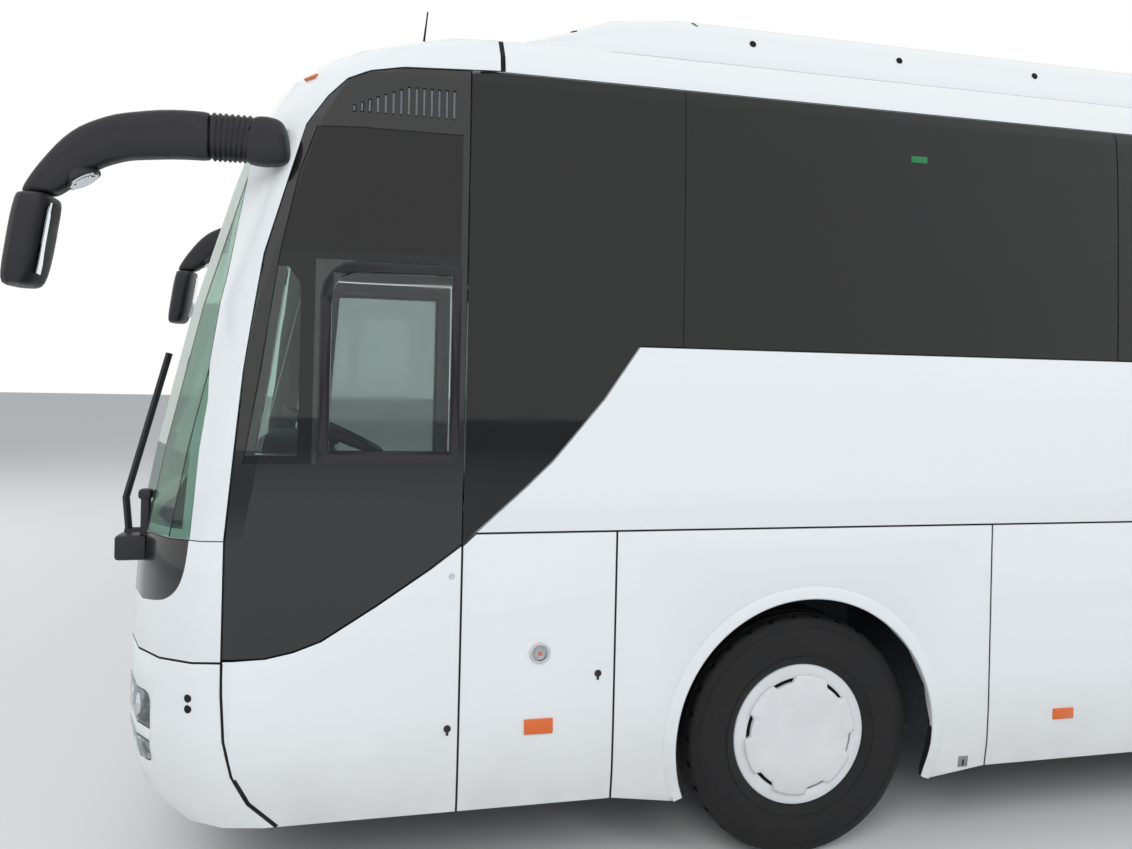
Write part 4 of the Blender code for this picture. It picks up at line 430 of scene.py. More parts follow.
def node(tree, kind, links=(), **settings):
    """Adds one node with its settings; links give (socket of this node, socket it is fed from)."""
    made = tree.nodes.new(kind)
    for key, value in settings.items():
        if key.startswith("in_"):
            made.inputs[int(key[3:])].default_value = value
        else:
            setattr(made, key, value)
    for place, source in links:
        tree.links.new(source, made.inputs[place])
    return made


def new_finish(name, label, colour, roughness, **sockets):
    """A material with its shader set, and the point on the object for its patterns."""
    made = bpy.data.materials.new(label)
    made.use_nodes = True
    tree = made.node_tree
    shader = tree.nodes["Principled BSDF"]
    shader.inputs["Base Color"].default_value = linear(colour)
    shader.inputs["Roughness"].default_value = roughness
    for key, value in sockets.items():
        shader.inputs[key.replace("_", " ")].default_value = value
    place = node(tree, "ShaderNodeTexCoord").outputs["Object"]
    finishes[name] = made
    return tree, shader, place


def grain(tree, shader, place, size_mm, height_mm, detail=3):
    """A bump from noise whose grains have a real size."""
    noise = node(tree, "ShaderNodeTexNoise", [("Vector", place)])
    noise.inputs["Scale"].default_value = 1000 / size_mm
    noise.inputs["Detail"].default_value = detail
    bump = node(tree, "ShaderNodeBump", [("Height", noise.outputs["Fac"])])
    bump.inputs["Distance"].default_value = height_mm / 1000
    tree.links.new(bump.outputs["Normal"], shader.inputs["Normal"])
    return noise.outputs["Fac"]


def two_tone(tree, mask, first, second, shader=None):
    """Colour from first to second, each a hex colour or a socket, along a mask. A shader given takes it."""
    mix = node(tree, "ShaderNodeMix", [(0, mask)], data_type="RGBA")
    for place, colour in ((6, first), (7, second)):  # sockets 6, 7 and output 2 are the colour ones
        if isinstance(colour, str):
            mix.inputs[place].default_value = linear(colour)
        else:
            tree.links.new(colour, mix.inputs[place])
    if shader:
        tree.links.new(mix.outputs[2], shader.inputs["Base Color"])
    return mix.outputs[2]


def spread(tree, value, low, high, to_low=0.0, to_high=1.0):
    """Maps low..high on to_low..to_high, held at the ends."""
    made = node(tree, "ShaderNodeMapRange", [("Value", value)])
    for key, number in zip(("From Min", "From Max", "To Min", "To Max"), (low, high, to_low, to_high)):
        made.inputs[key].default_value = number
    return made.outputs["Result"]


def patches(tree, place, size_mm):
    """Soft patches of a real size, as a value."""
    noise = node(tree, "ShaderNodeTexNoise", [("Vector", place)])
    noise.inputs["Scale"].default_value = 1000 / size_mm
    noise.inputs["Detail"].default_value = 4
    return noise.outputs["Fac"]


def math_node(tree, operation, a, b=None):
    """One step of arithmetic; a and b are numbers or sockets."""
    made = node(tree, "ShaderNodeMath", operation=operation)
    for place, value in enumerate((a, b)):
        if isinstance(value, (int, float)):
            made.inputs[place].default_value = value
        elif value is not None:
            tree.links.new(value, made.inputs[place])
    return made.outputs[0]


def product(tree, first, *others):
    """Values multiplied with each other, such as masks that must all hold."""
    for other in others:
        first = math_node(tree, "MULTIPLY", first, other)
    return first


def coach_paint(name, label, white):
    """Two-coat body enamel: an even white under clear lacquer, so lamps show as soft sheets of light.

    The inside of each shell has pale lining above the floor and black below it, which is underseal and also
    painted shade in the panel joints and wheel arches; the pillars behind the side glass are blacked out.
    """
    tree, shader, place = new_finish(name, label, white, 0.32, Coat_Weight=0.7, Coat_Roughness=0.05)
    x, y, z = node(tree, "ShaderNodeSeparateXYZ", [(0, place)]).outputs[:3]
    held = node(tree, "ShaderNodeClamp", [("Value", x)], in_1=-5.2, in_2=4.9)  # ends of the coach's spine
    spine = node(tree, "ShaderNodeCombineXYZ", [(0, held.outputs[0])], in_1=0.0, in_2=2.2)
    outward = node(tree, "ShaderNodeVectorMath", [(0, place), (1, spine.outputs[0])], operation="SUBTRACT")
    normal = node(tree, "ShaderNodeNewGeometry").outputs["Normal"]
    facing = node(
        tree, "ShaderNodeVectorMath", [(0, normal), (1, outward.outputs[0])], operation="DOT_PRODUCT")
    inside = spread(tree, facing.outputs["Value"], 0.06, 0.02)
    dust = math_node(tree, "MULTIPLY", patches(tree, place, 260), spread(tree, z, 0.75, 0.30, 0.0, 0.55))
    road = two_tone(tree, dust, white, "A9A59C")
    # black below the floor: underseal, and also painted shade where the inner faces show through joints and arches
    lining = two_tone(tree, spread(tree, z, 1.28, 1.36), "141516", "8E9093")
    colour = two_tone(tree, inside, road, lining)
    if name == "wall_paint":
        band = product(
            tree, math_node(tree, "GREATER_THAN", z, WINDOW_FOOT - 0.004),
            math_node(tree, "LESS_THAN", z, WINDOW_HEAD),
            math_node(tree, "LESS_THAN", math_node(tree, "ABSOLUTE", x), 4.47),
            math_node(tree, "GREATER_THAN", math_node(tree, "ABSOLUTE", y), 0.94))
        colour = two_tone(tree, band, colour, BLACK)
    if name == "mask_paint":  # the black field under the screen, with its rounded lower corners
        over = math_node(tree, "MAXIMUM", math_node(tree, "SUBTRACT", z, 1.13), 0.0)
        ahead = math_node(tree, "MAXIMUM", math_node(tree, "SUBTRACT", x, 5.483), 0.0)
        colour = two_tone(tree, spread(tree, product(tree, over, ahead), 0.0063, 0.0067), colour, BLACK)
    tree.links.new(colour, shader.inputs["Base Color"])
    tree.links.new(spread(tree, inside, 0, 1, 0.30, 0.75), shader.inputs["Roughness"])
    grain(tree, shader, place, 9, 0.02, 1)  # lacquer's faint orange peel, 9 mm waves


def plain_finishes():
    """Finishes whose detail is a moulded, cast or ground grain."""
    table = [  # key, label, colour, roughness, size and height of the grain in mm, further sockets
        # ABS moulding with a fine spark-eroded grain: satin, with soft highlights on the mirror arms
        ("mirror_shell", "Grained ABS moulding", "1C1C20", 0.42, 1.6, 0.05, {}),
        # EPDM rubber profile: dead matt black that reads as a line between the panels
        ("seal", "EPDM rubber profile", "08090A", 0.85, 2.5, 0.10, {}),
        # acrylic sheet painted black from behind: deep, with clear reflections
        ("black_acrylic", "Black acrylic panel", "08090B", 0.10, 60, 0.02,
         {"Coat_Weight": 0.6, "Coat_Roughness": 0.02}),
        # forged and black-painted steel: rough, a little oily
        ("iron", "Black chassis paint", "202224", 0.55, 14, 0.30, {"Metallic": 0.2}),
        # zinc-plated steel tube: grey, soft shine
        ("zinc", "Zinc-plated steel", "9A9DA0", 0.38, 4, 0.03, {"Metallic": 1.0}),
        # bright chromium over plastic
        ("chrome", "Chromium plate", "D8DADC", 0.07, 40, 0.01, {"Metallic": 1.0}),
        # pale grey moulding of the louvre's blades
        ("blade_grey", "Moulded louvre blade", "6E7276", 0.45, 2.0, 0.04, {}),
        # front-surfaced mirror
        ("mirror_glass", "Silvered mirror", "E6EAEC", 0.02, 90, 0.005, {"Metallic": 1.0}),
        # vulcanised slush-moulded skin of the desk
        ("dash_skin", "Moulded desk skin", "2B2C2F", 0.62, 2.2, 0.14, {}),
        # amber acrylic moulded with fine prisms behind a clear face
        ("lens_amber", "Amber reflector", "E0660C", 0.12, 3.0, 0.25, {"Coat_Weight": 0.8}),
        # the same moulding in red
        ("lens_red", "Red lamp lens", "A30D10", 0.12, 3.5, 0.25, {"Coat_Weight": 0.8}),
        # green acrylic sheet, left blank
        ("sign_green", "Green acrylic plate", "1E7A45", 0.30, 12, 0.02, {}),
        # baked enamel on pressed steel and the plastic trim over it
        ("wheel_paint", "Stoved wheel enamel", "DFE2E4", 0.34, 7, 0.03,
         {"Coat_Weight": 0.4, "Coat_Roughness": 0.1}),
        # moulded bezel round the lamps, satin grey
        ("lens_frame", "Moulded lamp bezel", "3A3D40", 0.35, 2.0, 0.04, {}),
        # painted aluminium sheet with no characters
        ("plate_blank", "Stoved aluminium plate", "E9E9E4", 0.40, 5, 0.02, {}),
        # brushed engine enamel with oil in the pores of the castings
        ("engine_paint", "Engine enamel", "4A4E52", 0.50, 18, 0.50, {"Metallic": 0.3}),
    ]
    for key, label, colour, rough, size, height, sockets in table:
        tree, shader, place = new_finish(key, label, colour, rough, **sockets)
        grain(tree, shader, place, size, height)
        wear = patches(tree, place, size * 25)
        tree.links.new(spread(tree, wear, 0.3, 0.7, rough * 0.88, rough * 1.12), shader.inputs["Roughness"])
        darker = "".join(f"{int(int(colour[i:i+2], 16) * 0.965):02X}" for i in (0, 2, 4))
        two_tone(tree, spread(tree, wear, 0.35, 0.65), colour, darker, shader)


def glass(name, label, colour, rough, weight):
    """Tinted float glass: dark through its depth, with a hard reflection whose gloss changes a little in soft patches.
    """
    tree, shader, place = new_finish(name, label, colour, rough, Transmission_Weight=weight, IOR=1.5)
    film = patches(tree, place, 300)  # traffic film, seen as a slight change of gloss
    tree.links.new(spread(tree, film, 0.35, 0.7, rough, rough + 0.05), shader.inputs["Roughness"])


def driver_glass_finish():
    """Laminated side glass with a black ceramic print baked on round the clear quarter pane."""
    pale = "D3DDDA"
    tree, shader, place = new_finish(
        "driver_glass", "Screen-printed side glass", pale, 0.02, Transmission_Weight=1.0, IOR=1.5)
    x, _, z = node(tree, "ShaderNodeSeparateXYZ", [(0, place)]).outputs[:3]
    # The pane's front edge leans with the pillar, and its upper corner is cut off aslant
    lean = math_node(tree, "ADD", x, math_node(tree, "MULTIPLY", z, 0.135))
    slope = math_node(tree, "SUBTRACT", z, math_node(tree, "MULTIPLY", x, 1.40))
    clear = product(
        tree, math_node(tree, "GREATER_THAN", x, 5.125), math_node(tree, "LESS_THAN", lean, 5.560),
        math_node(tree, "GREATER_THAN", z, 1.728), math_node(tree, "LESS_THAN", z, 2.440),
        math_node(tree, "LESS_THAN", slope, -4.805))
    tinted = math_node(tree, "MULTIPLY", math_node(tree, "GREATER_THAN", z, 2.500), 0.8)
    sash = product(tree, math_node(tree, "LESS_THAN", x, 5.075), math_node(tree, "LESS_THAN", z, 2.47))
    unprinted = math_node(tree, "MAXIMUM", clear, sash)
    tree.links.new(math_node(tree, "MAXIMUM", unprinted, tinted), shader.inputs["Transmission Weight"])
    two_tone(tree, unprinted, "101314", pale, shader)


def tyre_rubber():
    """Vulcanised carbon-black rubber: matt, greyed by dust in its moulded rings."""
    tree, shader, place = new_finish("tyre", "Vulcanised tyre rubber", "17171A", 0.72)
    grain(tree, shader, place, 3, 0.25)
    dust = spread(tree, patches(tree, place, 140), 0.45, 0.75, 0, 0.6)
    two_tone(tree, dust, "0E0E10", "1C1B1B", shader)


def moquette():
    """Woven moquette: short pile in a small blue check, 6 mm repeat, with a soft sheen at the edges."""
    look = bpy.context.scene.coach_colours
    tree, shader, place = new_finish(
        "moquette", "Woven moquette", "26344F", 0.9, Sheen_Weight=0.4, Sheen_Roughness=0.4)
    waves = []
    for direction in ("X", "Y", "Z"):
        wave = node(tree, "ShaderNodeTexWave", [("Vector", place)], bands_direction=direction)
        wave.inputs["Scale"].default_value = 1000 / (6 * 2 * math.pi)
        waves.append(wave.outputs["Fac"])
    mask = math_node(tree, "MULTIPLY", math_node(tree, "ADD", waves[0], waves[2]), waves[1])
    two_tone(tree, mask, shown(look.fabric_dark), shown(look.fabric_light), shader)
    grain(tree, shader, place, 1.5, 0.5)


def studded_floor():
    """Safety vinyl: a speckled grey sheet with fine grit, 4 mm flecks."""
    tree, shader, place = new_finish("floor", "Flecked safety vinyl", "505357", 0.68)
    fac = grain(tree, shader, place, 4, 0.15)
    two_tone(tree, spread(tree, fac, 0.55, 0.62), "46494D", "7A7E83", shader)


def lamp_lens():
    """Clear polycarbonate lens over ribbed reflectors: grey glass with upright flutes 18 mm apart."""
    tree, shader, place = new_finish(
        "lens_clear", "Clear polycarbonate lens", "DDE3E6", 0.05, Transmission_Weight=0.92, IOR=1.45)
    wave = node(tree, "ShaderNodeTexWave", [("Vector", place)], bands_direction="Y")
    wave.inputs["Scale"].default_value = 1000 / (18 * 2 * math.pi)
    bump = node(tree, "ShaderNodeBump", [("Height", wave.outputs["Fac"])])
    bump.inputs["Distance"].default_value = 0.0004
    tree.links.new(bump.outputs["Normal"], shader.inputs["Normal"])


def make_finishes():
    """All finishes, with the colours that the panel gives."""
    look = bpy.context.scene.coach_colours
    coach_paint("paint", "Lacquered coach enamel", shown(look.white))
    coach_paint("wall_paint", "Lacquered coach enamel, side walls", shown(look.white))
    coach_paint("mask_paint", "Lacquered coach enamel, mask", shown(look.white))
    plain_finishes()
    glass("side_glass", "Privacy-tinted glass", shown(look.side_tint), 0.02, 0.85)
    glass("screen_glass", "Green-tinted laminated glass", shown(look.screen_tint), 0.01, 1.0)
    glass("sash_glass", "Pale grey pane", "C9D3D1", 0.02, 1.0)
    driver_glass_finish()
    tyre_rubber()
    moquette()
    studded_floor()
    lamp_lens()


NODE_FINISHES = {
    "wall_paint": ("side_wall_left", "side_wall_right"),
    "paint": [name for name in PANELS if name not in ("side_wall_left", "side_wall_right")],
    "black_acrylic": ("driver_panel",),
    "side_glass": ("side_glass_left", "side_glass_right", "rear_glass"),
    "driver_glass": ("driver_glass",),
    "screen_glass": ("windscreen",),
    "mirror_shell": ("mirror_left", "mirror_right", "wiper_left", "wiper_right", "driver_sash"),
    "dash_skin": ("dashboard", "steering_wheel"),
    "iron": ("front_axle", "rear_axle", "underbody", "knuckle_left", "knuckle_right"),
    "engine_paint": ("engine_block",),
    "zinc": ("front_door_arm", "mid_door_arm"),
    "floor": ("floor_deck", "cab_deck"),
    "moquette": ("seats_left", "seats_right", "driver_seat"),
    "lens_frame": ("headlamp_left", "headlamp_right"),
    "wheel_paint": ("rim_front_left", "rim_front_right", "rim_rear_left", "rim_rear_right"),
    "tyre": [n for n in frame["nodes"] if n.startswith("tyre")],
}


def paint_nodes():
    """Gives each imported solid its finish."""
    for key, names in NODE_FINISHES.items():
        for name in names:
            obj = frame["nodes"][name]
            for i in range(len(obj.data.materials)):
                obj.data.materials[i] = finishes[key]


# Wheels

TREAD_HALF = [  # (radius, distance from the tyre's middle) from the crown's middle out to the bead
    (0.5172, 0.0), (0.5170, 0.023), (0.5050, 0.025), (0.5050, 0.032), (0.5168, 0.034), (0.5160, 0.072),
    (0.5040, 0.074), (0.5040, 0.082), (0.5156, 0.084), (0.5130, 0.112), (0.5060, 0.1215), (0.4960, 0.1280),
    (0.4700, 0.1365), (0.4690, 0.1385), (0.4660, 0.1385), (0.4650, 0.1370), (0.4350, 0.1435),
    (0.4050, 0.1455), (0.3750, 0.1440), (0.3480, 0.1385), (0.3470, 0.1410), (0.3420, 0.1410),
    (0.3410, 0.1365), (0.3180, 0.1240), (0.3060, 0.1160), (0.3010, 0.1060), (0.2960, 0.0960),
    (0.3300, 0.1000), (0.4000, 0.1260), (0.4700, 0.1100), (0.4880, 0.0500),
]
SLOT_DEPTH = 0.009
NUTS, NUT_CIRCLE, NUT_ACROSS = 10, 0.1675, 0.019


def tyre_form(name, centre):
    """Ribbed tyre with ringed sidewalls and shoulder slots cut between the tread blocks."""
    half = TREAD_HALF[1:]
    profile = half + [(0.4900, 0.0)] + [(r, -a) for r, a in reversed(half)] + [TREAD_HALF[0]]
    obj = turned(name, profile, centre, "Y", TYRE_STEPS, closed=True)
    step = 2 * math.pi / TYRE_STEPS

    def in_slot(c, n):
        spot = c - Vector(centre)
        turn = int((math.atan2(spot.z, spot.x) % (2 * math.pi)) / step)
        return turn % 4 == 0 and 0.088 < abs(spot.y) < 0.125 and math.hypot(spot.x, spot.z) > 0.506

    select_faces(obj, in_slot)
    bpy.ops.mesh.extrude_region_shrink_fatten(TRANSFORM_OT_shrink_fatten={"value": -SLOT_DEPTH})
    bpy.ops.object.mode_set(mode="OBJECT")
    return obj


def make_tyres():
    """One tyre copied to all six places."""
    front = tyre_form("tyre_front_tread", FRONT_AXLE)
    rear = moved_copy(front, "tyre_rear_tread", REAR_AXLE - FRONT_AXLE)
    twin = moved_copy(rear, "tyre_inner_tread", (0, -TWIN_SPACING, 0))
    for obj, node_name, body in (
        (front, "tyre_front_SIDE", "front_wheel_SIDE"),
        (rear, "tyre_rear_SIDE_outer", "rear_wheel_SIDE"),
        (twin, "tyre_rear_SIDE_inner", "rear_wheel_SIDE"),
    ):
        for made, side in zip(on_both(obj, obj.name, body, "tyre", "tyre"), ("left", "right")):
            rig.replaces(made, node_name.replace("SIDE", side))


def notched_edge(notches=6, steps=216, full=0.258, depth=0.026):
    """The raised plate's edge as (radius, angle) pairs: a circle with six shallow notches."""
    pairs = []
    for i in range(steps):
        angle = 2 * math.pi * i / steps
        share = ((angle / (2 * math.pi) - 0.115) * notches) % 1
        rise = min(1, max(0, min(share - 0.27, 0.73 - share) / 0.08))
        pairs.append((full - depth * rise * rise * (3 - 2 * rise), angle))
    return pairs


def make_front_trims():
    """Wheel barrel with the flat trim ring, the notched plate over it and the faint circle at its middle."""
    c = FRONT_AXLE
    barrel = turned("front_barrel", [
        (0.283, -0.105), (0.298, -0.105), (0.300, -0.096), (0.286, -0.090), (0.262, -0.070), (0.258, 0.050),
        (0.284, 0.090), (0.300, 0.097), (0.302, 0.104), (0.296, 0.104), (0.274, 0.092), (0.250, 0.052),
        (0.252, -0.066)], c, steps=72, closed=True)
    web = turned("front_web", [
        (0.0, -0.004), (0.110, -0.004), (0.255, 0.020), (0.255, 0.030), (0.110, 0.008),
        (0.0, 0.008)], c, steps=72)
    # black disc behind the notched plate: painted shade, seen through the notches where the wheel's hollow lies
    dark = turned("front_trim_dark", [
        (0.0, 0.098), (0.262, 0.098), (0.262, 0.102), (0.0, 0.102)], c, steps=72)
    ring = turned("front_trim_ring", [
        (0.304, 0.094), (0.3045, 0.110), (0.3005, 0.1155), (0.290, 0.1175), (0.256, 0.1165),
        (0.2475, 0.1130), (0.2465, 0.1000), (0.252, 0.100), (0.266, 0.108), (0.296, 0.110),
    ], c, steps=96, closed=True)
    steps = [(1.0, 0.112), (1.0, 0.1265), (0.992, 0.1285), (0.955, 0.1315), (0.70, 0.1335), (0.30, 0.1345)]
    edge = notched_edge()
    raised = rings("front_trim_plate", [
        [c + Vector((share * r * math.cos(a), out, share * r * math.sin(a))) for r, a in edge]
        for share, out in steps])
    circle = turned("front_trim_circle", [
        (0.1150, 0.1332), (0.1153, 0.1340), (0.1165, 0.1340), (0.1168, 0.1332)], c, steps=72, closed=True)
    barrels = on_both(joined([barrel, web]), "front_barrel", "front_wheel_SIDE", "wheel_paint", "rim_paint")
    for obj, (_, word) in zip(barrels, SIDES):
        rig.replaces(obj, f"rim_front_{word}")
    on_both(dark, "front_trim_dark", "front_wheel_SIDE", "seal")
    on_both(joined([ring, circle]), "front_trim_ring", "front_wheel_SIDE", "wheel_paint", "rim_paint")
    on_both(raised, "front_trim_plate", "front_wheel_SIDE", "wheel_paint", "rim_paint")


def make_rear_hubs():
    """Ten wheel nuts on each rear disc, and the hub's stepped cap."""
    c = REAR_AXLE
    nuts = []
    for i in range(NUTS):
        angle = 2 * math.pi * (i + 0.5) / NUTS
        x, z = c.x + NUT_CIRCLE * math.cos(angle), c.z + NUT_CIRCLE * math.sin(angle)
        turns = [a * math.pi / 3 for a in range(6)]
        hexagon = [(x + NUT_ACROSS * math.cos(a), z + NUT_ACROSS * math.sin(a)) for a in turns]
        nuts.append(plate("rear_nut", hexagon, c.y - 0.121, c.y - 0.090, round_by=0.003))
        nuts.append(turned("rear_stud", [
            (0.0, -0.090), (0.011, -0.090), (0.011, -0.072), (0.008, -0.069), (0.0, -0.069),
        ], (x, c.y, z), steps=16))
    cap = turned("rear_cap", [
        (0.118, -0.121), (0.118, -0.060), (0.112, -0.050), (0.110, 0.030), (0.098, 0.046), (0.060, 0.050),
        (0.056, 0.058), (0.0, 0.060)], c, steps=48)
    on_both(joined(nuts), "rear_nuts", "rear_wheel_SIDE", "zinc")
    on_both(cap, "rear_cap", "rear_wheel_SIDE", "iron")


# On the panels


def met(node_name, start, way):
    """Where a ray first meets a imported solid, and the way the face there looks."""
    hit, place, normal, _ = frame["nodes"][node_name].ray_cast(Vector(start), Vector(way))
    if not hit:
        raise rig.FrameError(f"nothing of {node_name} from {start}")
    return place, normal


def skin_point(node_name, x, z, side=1):
    """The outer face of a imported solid, met from the side."""
    return met(node_name, (x, side * 3, z), (0, -side, 0))


def front_point(node_name, y, z, way=1):
    """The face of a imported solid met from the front, or from behind when way is -1."""
    return met(node_name, (way * 9, y, z), (-way, 0, 0))


def lay_on(obj, place, normal, sink=0.0):
    """Turns a piece drawn round the origin, its face up, onto a place so that it looks along the normal."""
    turn = normal.to_track_quat("Z", "Y").to_matrix().to_4x4()
    obj.data.transform(Matrix.Translation(place - normal * sink) @ turn)
    return obj


def button(name, radius, tall, dish=0.25, steps=32):
    """A round fitting with a soft edge and a slightly dished face, drawn round the origin."""
    middle = tall * (1 - dish)
    return turned(name, [
        (0.0, -0.006), (radius, -0.006), (radius, tall * 0.6), (radius * 0.93, tall), (radius * 0.72, tall),
        (radius * 0.66, middle), (0.0, middle)], (0, 0, 0), "Z", steps)


def badge(name, long, tall, thick, round_by=0.004):
    """A flat fitting with rounded edges, drawn round the origin."""
    return block(name, (-long / 2, -tall / 2, BEHIND), (long / 2, tall / 2, thick), round_by)


def fit(obj, on, x, z, finish, side=1):
    """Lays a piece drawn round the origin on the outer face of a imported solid, and dresses it."""
    body = on if on.startswith(OWN_BODIES) else "coach_body"
    return dress(lay_on(obj, *skin_point(on, x, z, side)), body, finish)


def open_pane(obj, which):
    """Cuts a door's sheet along the edges of its glass and takes out what lies between."""
    foot, head = DOOR_PANE
    rear, front = pane_edges(which, foot)
    tilt = DOOR_LEAN if which == "front_door" else 0
    only(obj)
    bpy.ops.object.mode_set(mode="EDIT")
    cuts = (((0, 0, foot), (0, 0, 1)), ((0, 0, head), (0, 0, 1)),
            ((rear, 0, foot), (1, 0, 0)), ((front, 0, foot), (1, 0, tilt)))
    for place, way in cuts:
        bpy.ops.mesh.select_all(action="SELECT")
        bpy.ops.mesh.bisect(plane_co=place, plane_no=way)
    bpy.ops.object.mode_set(mode="OBJECT")

    def in_pane(c, n):
        low, high = pane_edges(which, c.z)
        return foot < c.z < head and low < c.x < high and abs(n.y) > 0.5

    keep_faces(obj, lambda c, n: not in_pane(c, n))


def make_panels():
    """The body panels with softly rolled edges."""
    edge = bpy.context.scene.coach_sizes.panel_edge
    for name in PANELS:
        obj = copy_of(name, f"{name}_sheet")
        only(obj)
        bpy.ops.object.mode_set(mode="EDIT")
        bpy.ops.mesh.select_all(action="SELECT")
        bpy.ops.mesh.dissolve_limited(angle_limit=math.radians(0.6))
        bpy.ops.object.mode_set(mode="OBJECT")
        if name in DOOR_ENDS:
            open_pane(obj, name)
        modify(obj, "BEVEL", width=edge, segments=2, limit_method="ANGLE", angle_limit=math.radians(50),
               use_clamp_overlap=True, harden_normals=False, miter_outer="MITER_ARC")
        body = name if name.startswith(OWN_BODIES) else "coach_body"
        dress(obj, body, PANEL_FINISHES.get(name, "paint"), "white_paint", PANEL_SMOOTH)
        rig.replaces(obj, name)


def make_arch_lips():
    """The raised lip rolled round each wheel arch."""
    proud = bpy.context.scene.coach_sizes.lip_proud
    for axle, node_name, end, foot in ((FRONT_AXLE, "arch_panel_left", "front", 0.324),
                                       (REAR_AXLE, "rear_quarter_left", "rear", 0.360)):
        profile = [(0.6120, -0.014), (0.5935, -0.014), (0.5935, 0.002), (0.5980, proud), (0.634, proud),
                   (0.648, 0.0005), (0.648, BEHIND)]
        centre = Vector((axle.x, SKIN_Y, 0.532))
        obj = turned(f"{end}_arch_lip", profile, centre, "Y", 192, closed=True)
        keep_faces(obj, lambda c, n: c.z > foot)
        for vert in obj.data.vertices:
            angle = math.atan2(vert.co.z - centre.z, vert.co.x - centre.x)
            x, z = centre.x + 0.655 * math.cos(angle), max(foot + 0.004, centre.z + 0.655 * math.sin(angle))
            try:
                vert.co.y += skin_point(node_name, x, z)[0].y - SKIN_Y
            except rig.FrameError:  # the panel's foot rises there
                vert.co.y += skin_point(node_name, x, z + 0.05)[0].y - SKIN_Y
        on_both(obj, f"{end}_arch_lip", "coach_body", "paint", "white_paint")


def edge_seal(node_name, name, test, body="coach_body", wide=None, deep=0.0020):
    """Rubber on the edge faces of a panel that pass the test, set back from the skin and made thick."""
    obj = copy_of(node_name, name, deep)
    keep_faces(obj, test)
    if not obj.data.polygons:
        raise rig.FrameError(f"no edge faces of {node_name} for {name}")
    wide = wide or bpy.context.scene.coach_sizes.joint_rubber
    modify(obj, "SOLIDIFY", thickness=wide + deep, offset=1)
    return dress(obj, body, "seal")


def make_seals():
    """The black rubber in the joints between the panels."""
    leaf_wide = bpy.context.scene.coach_sizes.door_rubber
    for _, word in SIDES:
        edge_seal(f"side_wall_{word}", f"waist_seal_{word}",
                  lambda c, n: n.z < -0.9 and abs(c.z - 1.434) < 0.01 and abs(c.y) > 1.20)
        edge_seal(f"arch_panel_{word}", f"arch_seal_{word}",
                  lambda c, n: abs(n.x) > 0.9 and (c.x > 3.80 or c.x < 2.20))
        edge_seal(f"rear_quarter_{word}", f"quarter_seal_{word}",
                  lambda c, n: abs(n.x) > 0.9 and (c.x > -2.20 or c.x < -5.85))
    edge_seal("service_flap_front", "flap_seal_front",
              lambda c, n: n.x < -0.8 and c.x < 4.56, "service_flap_front")
    for word in ("left", "right"):
        on = f"luggage_flap_{word}_front"
        edge_seal(on, f"bay_seal_{word}", lambda c, n: n.x < -0.8, on)
    edge_seal("driver_panel", "driver_panel_seal",
              lambda c, n: abs(n.y) < 0.4 and n.z < 0.5 and c.y > 1.20 and c.x > 5.34, wide=0.0055)
    edge_seal("front_bumper", "bumper_side_seal",
              lambda c, n: abs(n.y) < 0.55 and n.x < -0.35 and abs(c.y) > 1.15, wide=0.015, deep=-0.0015)
    edge_seal("front_mask", "mask_side_seal",
              lambda c, n: n.x < -0.6 and abs(n.y) < 0.7 and abs(c.y) > 1.17, wide=0.0055)
    edge_seal("front_mask", "mask_foot_seal", lambda c, n: n.z < -0.9 and c.z < 0.99)
    edge_seal("roof", "roof_joint_seal", lambda c, n: n.x > 0.7 and c.x > 3.3, wide=0.0165, deep=0.0035)
    for which in ("front_door", "mid_door"):  # the leaf's four edges, not the ears on its inner face
        edge_seal(which, f"{which}_seal", lambda c, n: abs(n.y) < 0.4 and c.y < -1.20 and (
            abs(n.x) > 0.8 or (abs(n.z) > 0.8 and not 0.5 < c.z < 2.5)), which, leaf_wide)


def lock_cover(name):
    """A round keyhole cover with the tab that it is swung aside by."""
    radius = bpy.context.scene.coach_sizes.lock_radius
    disc = button(f"{name}_disc", radius, 0.004)
    tab = block(f"{name}_tab", (-0.005, -1.9 * radius, BEHIND), (0.005, -0.5 * radius, 0.003), 0.002)
    return joined([disc, tab], name)


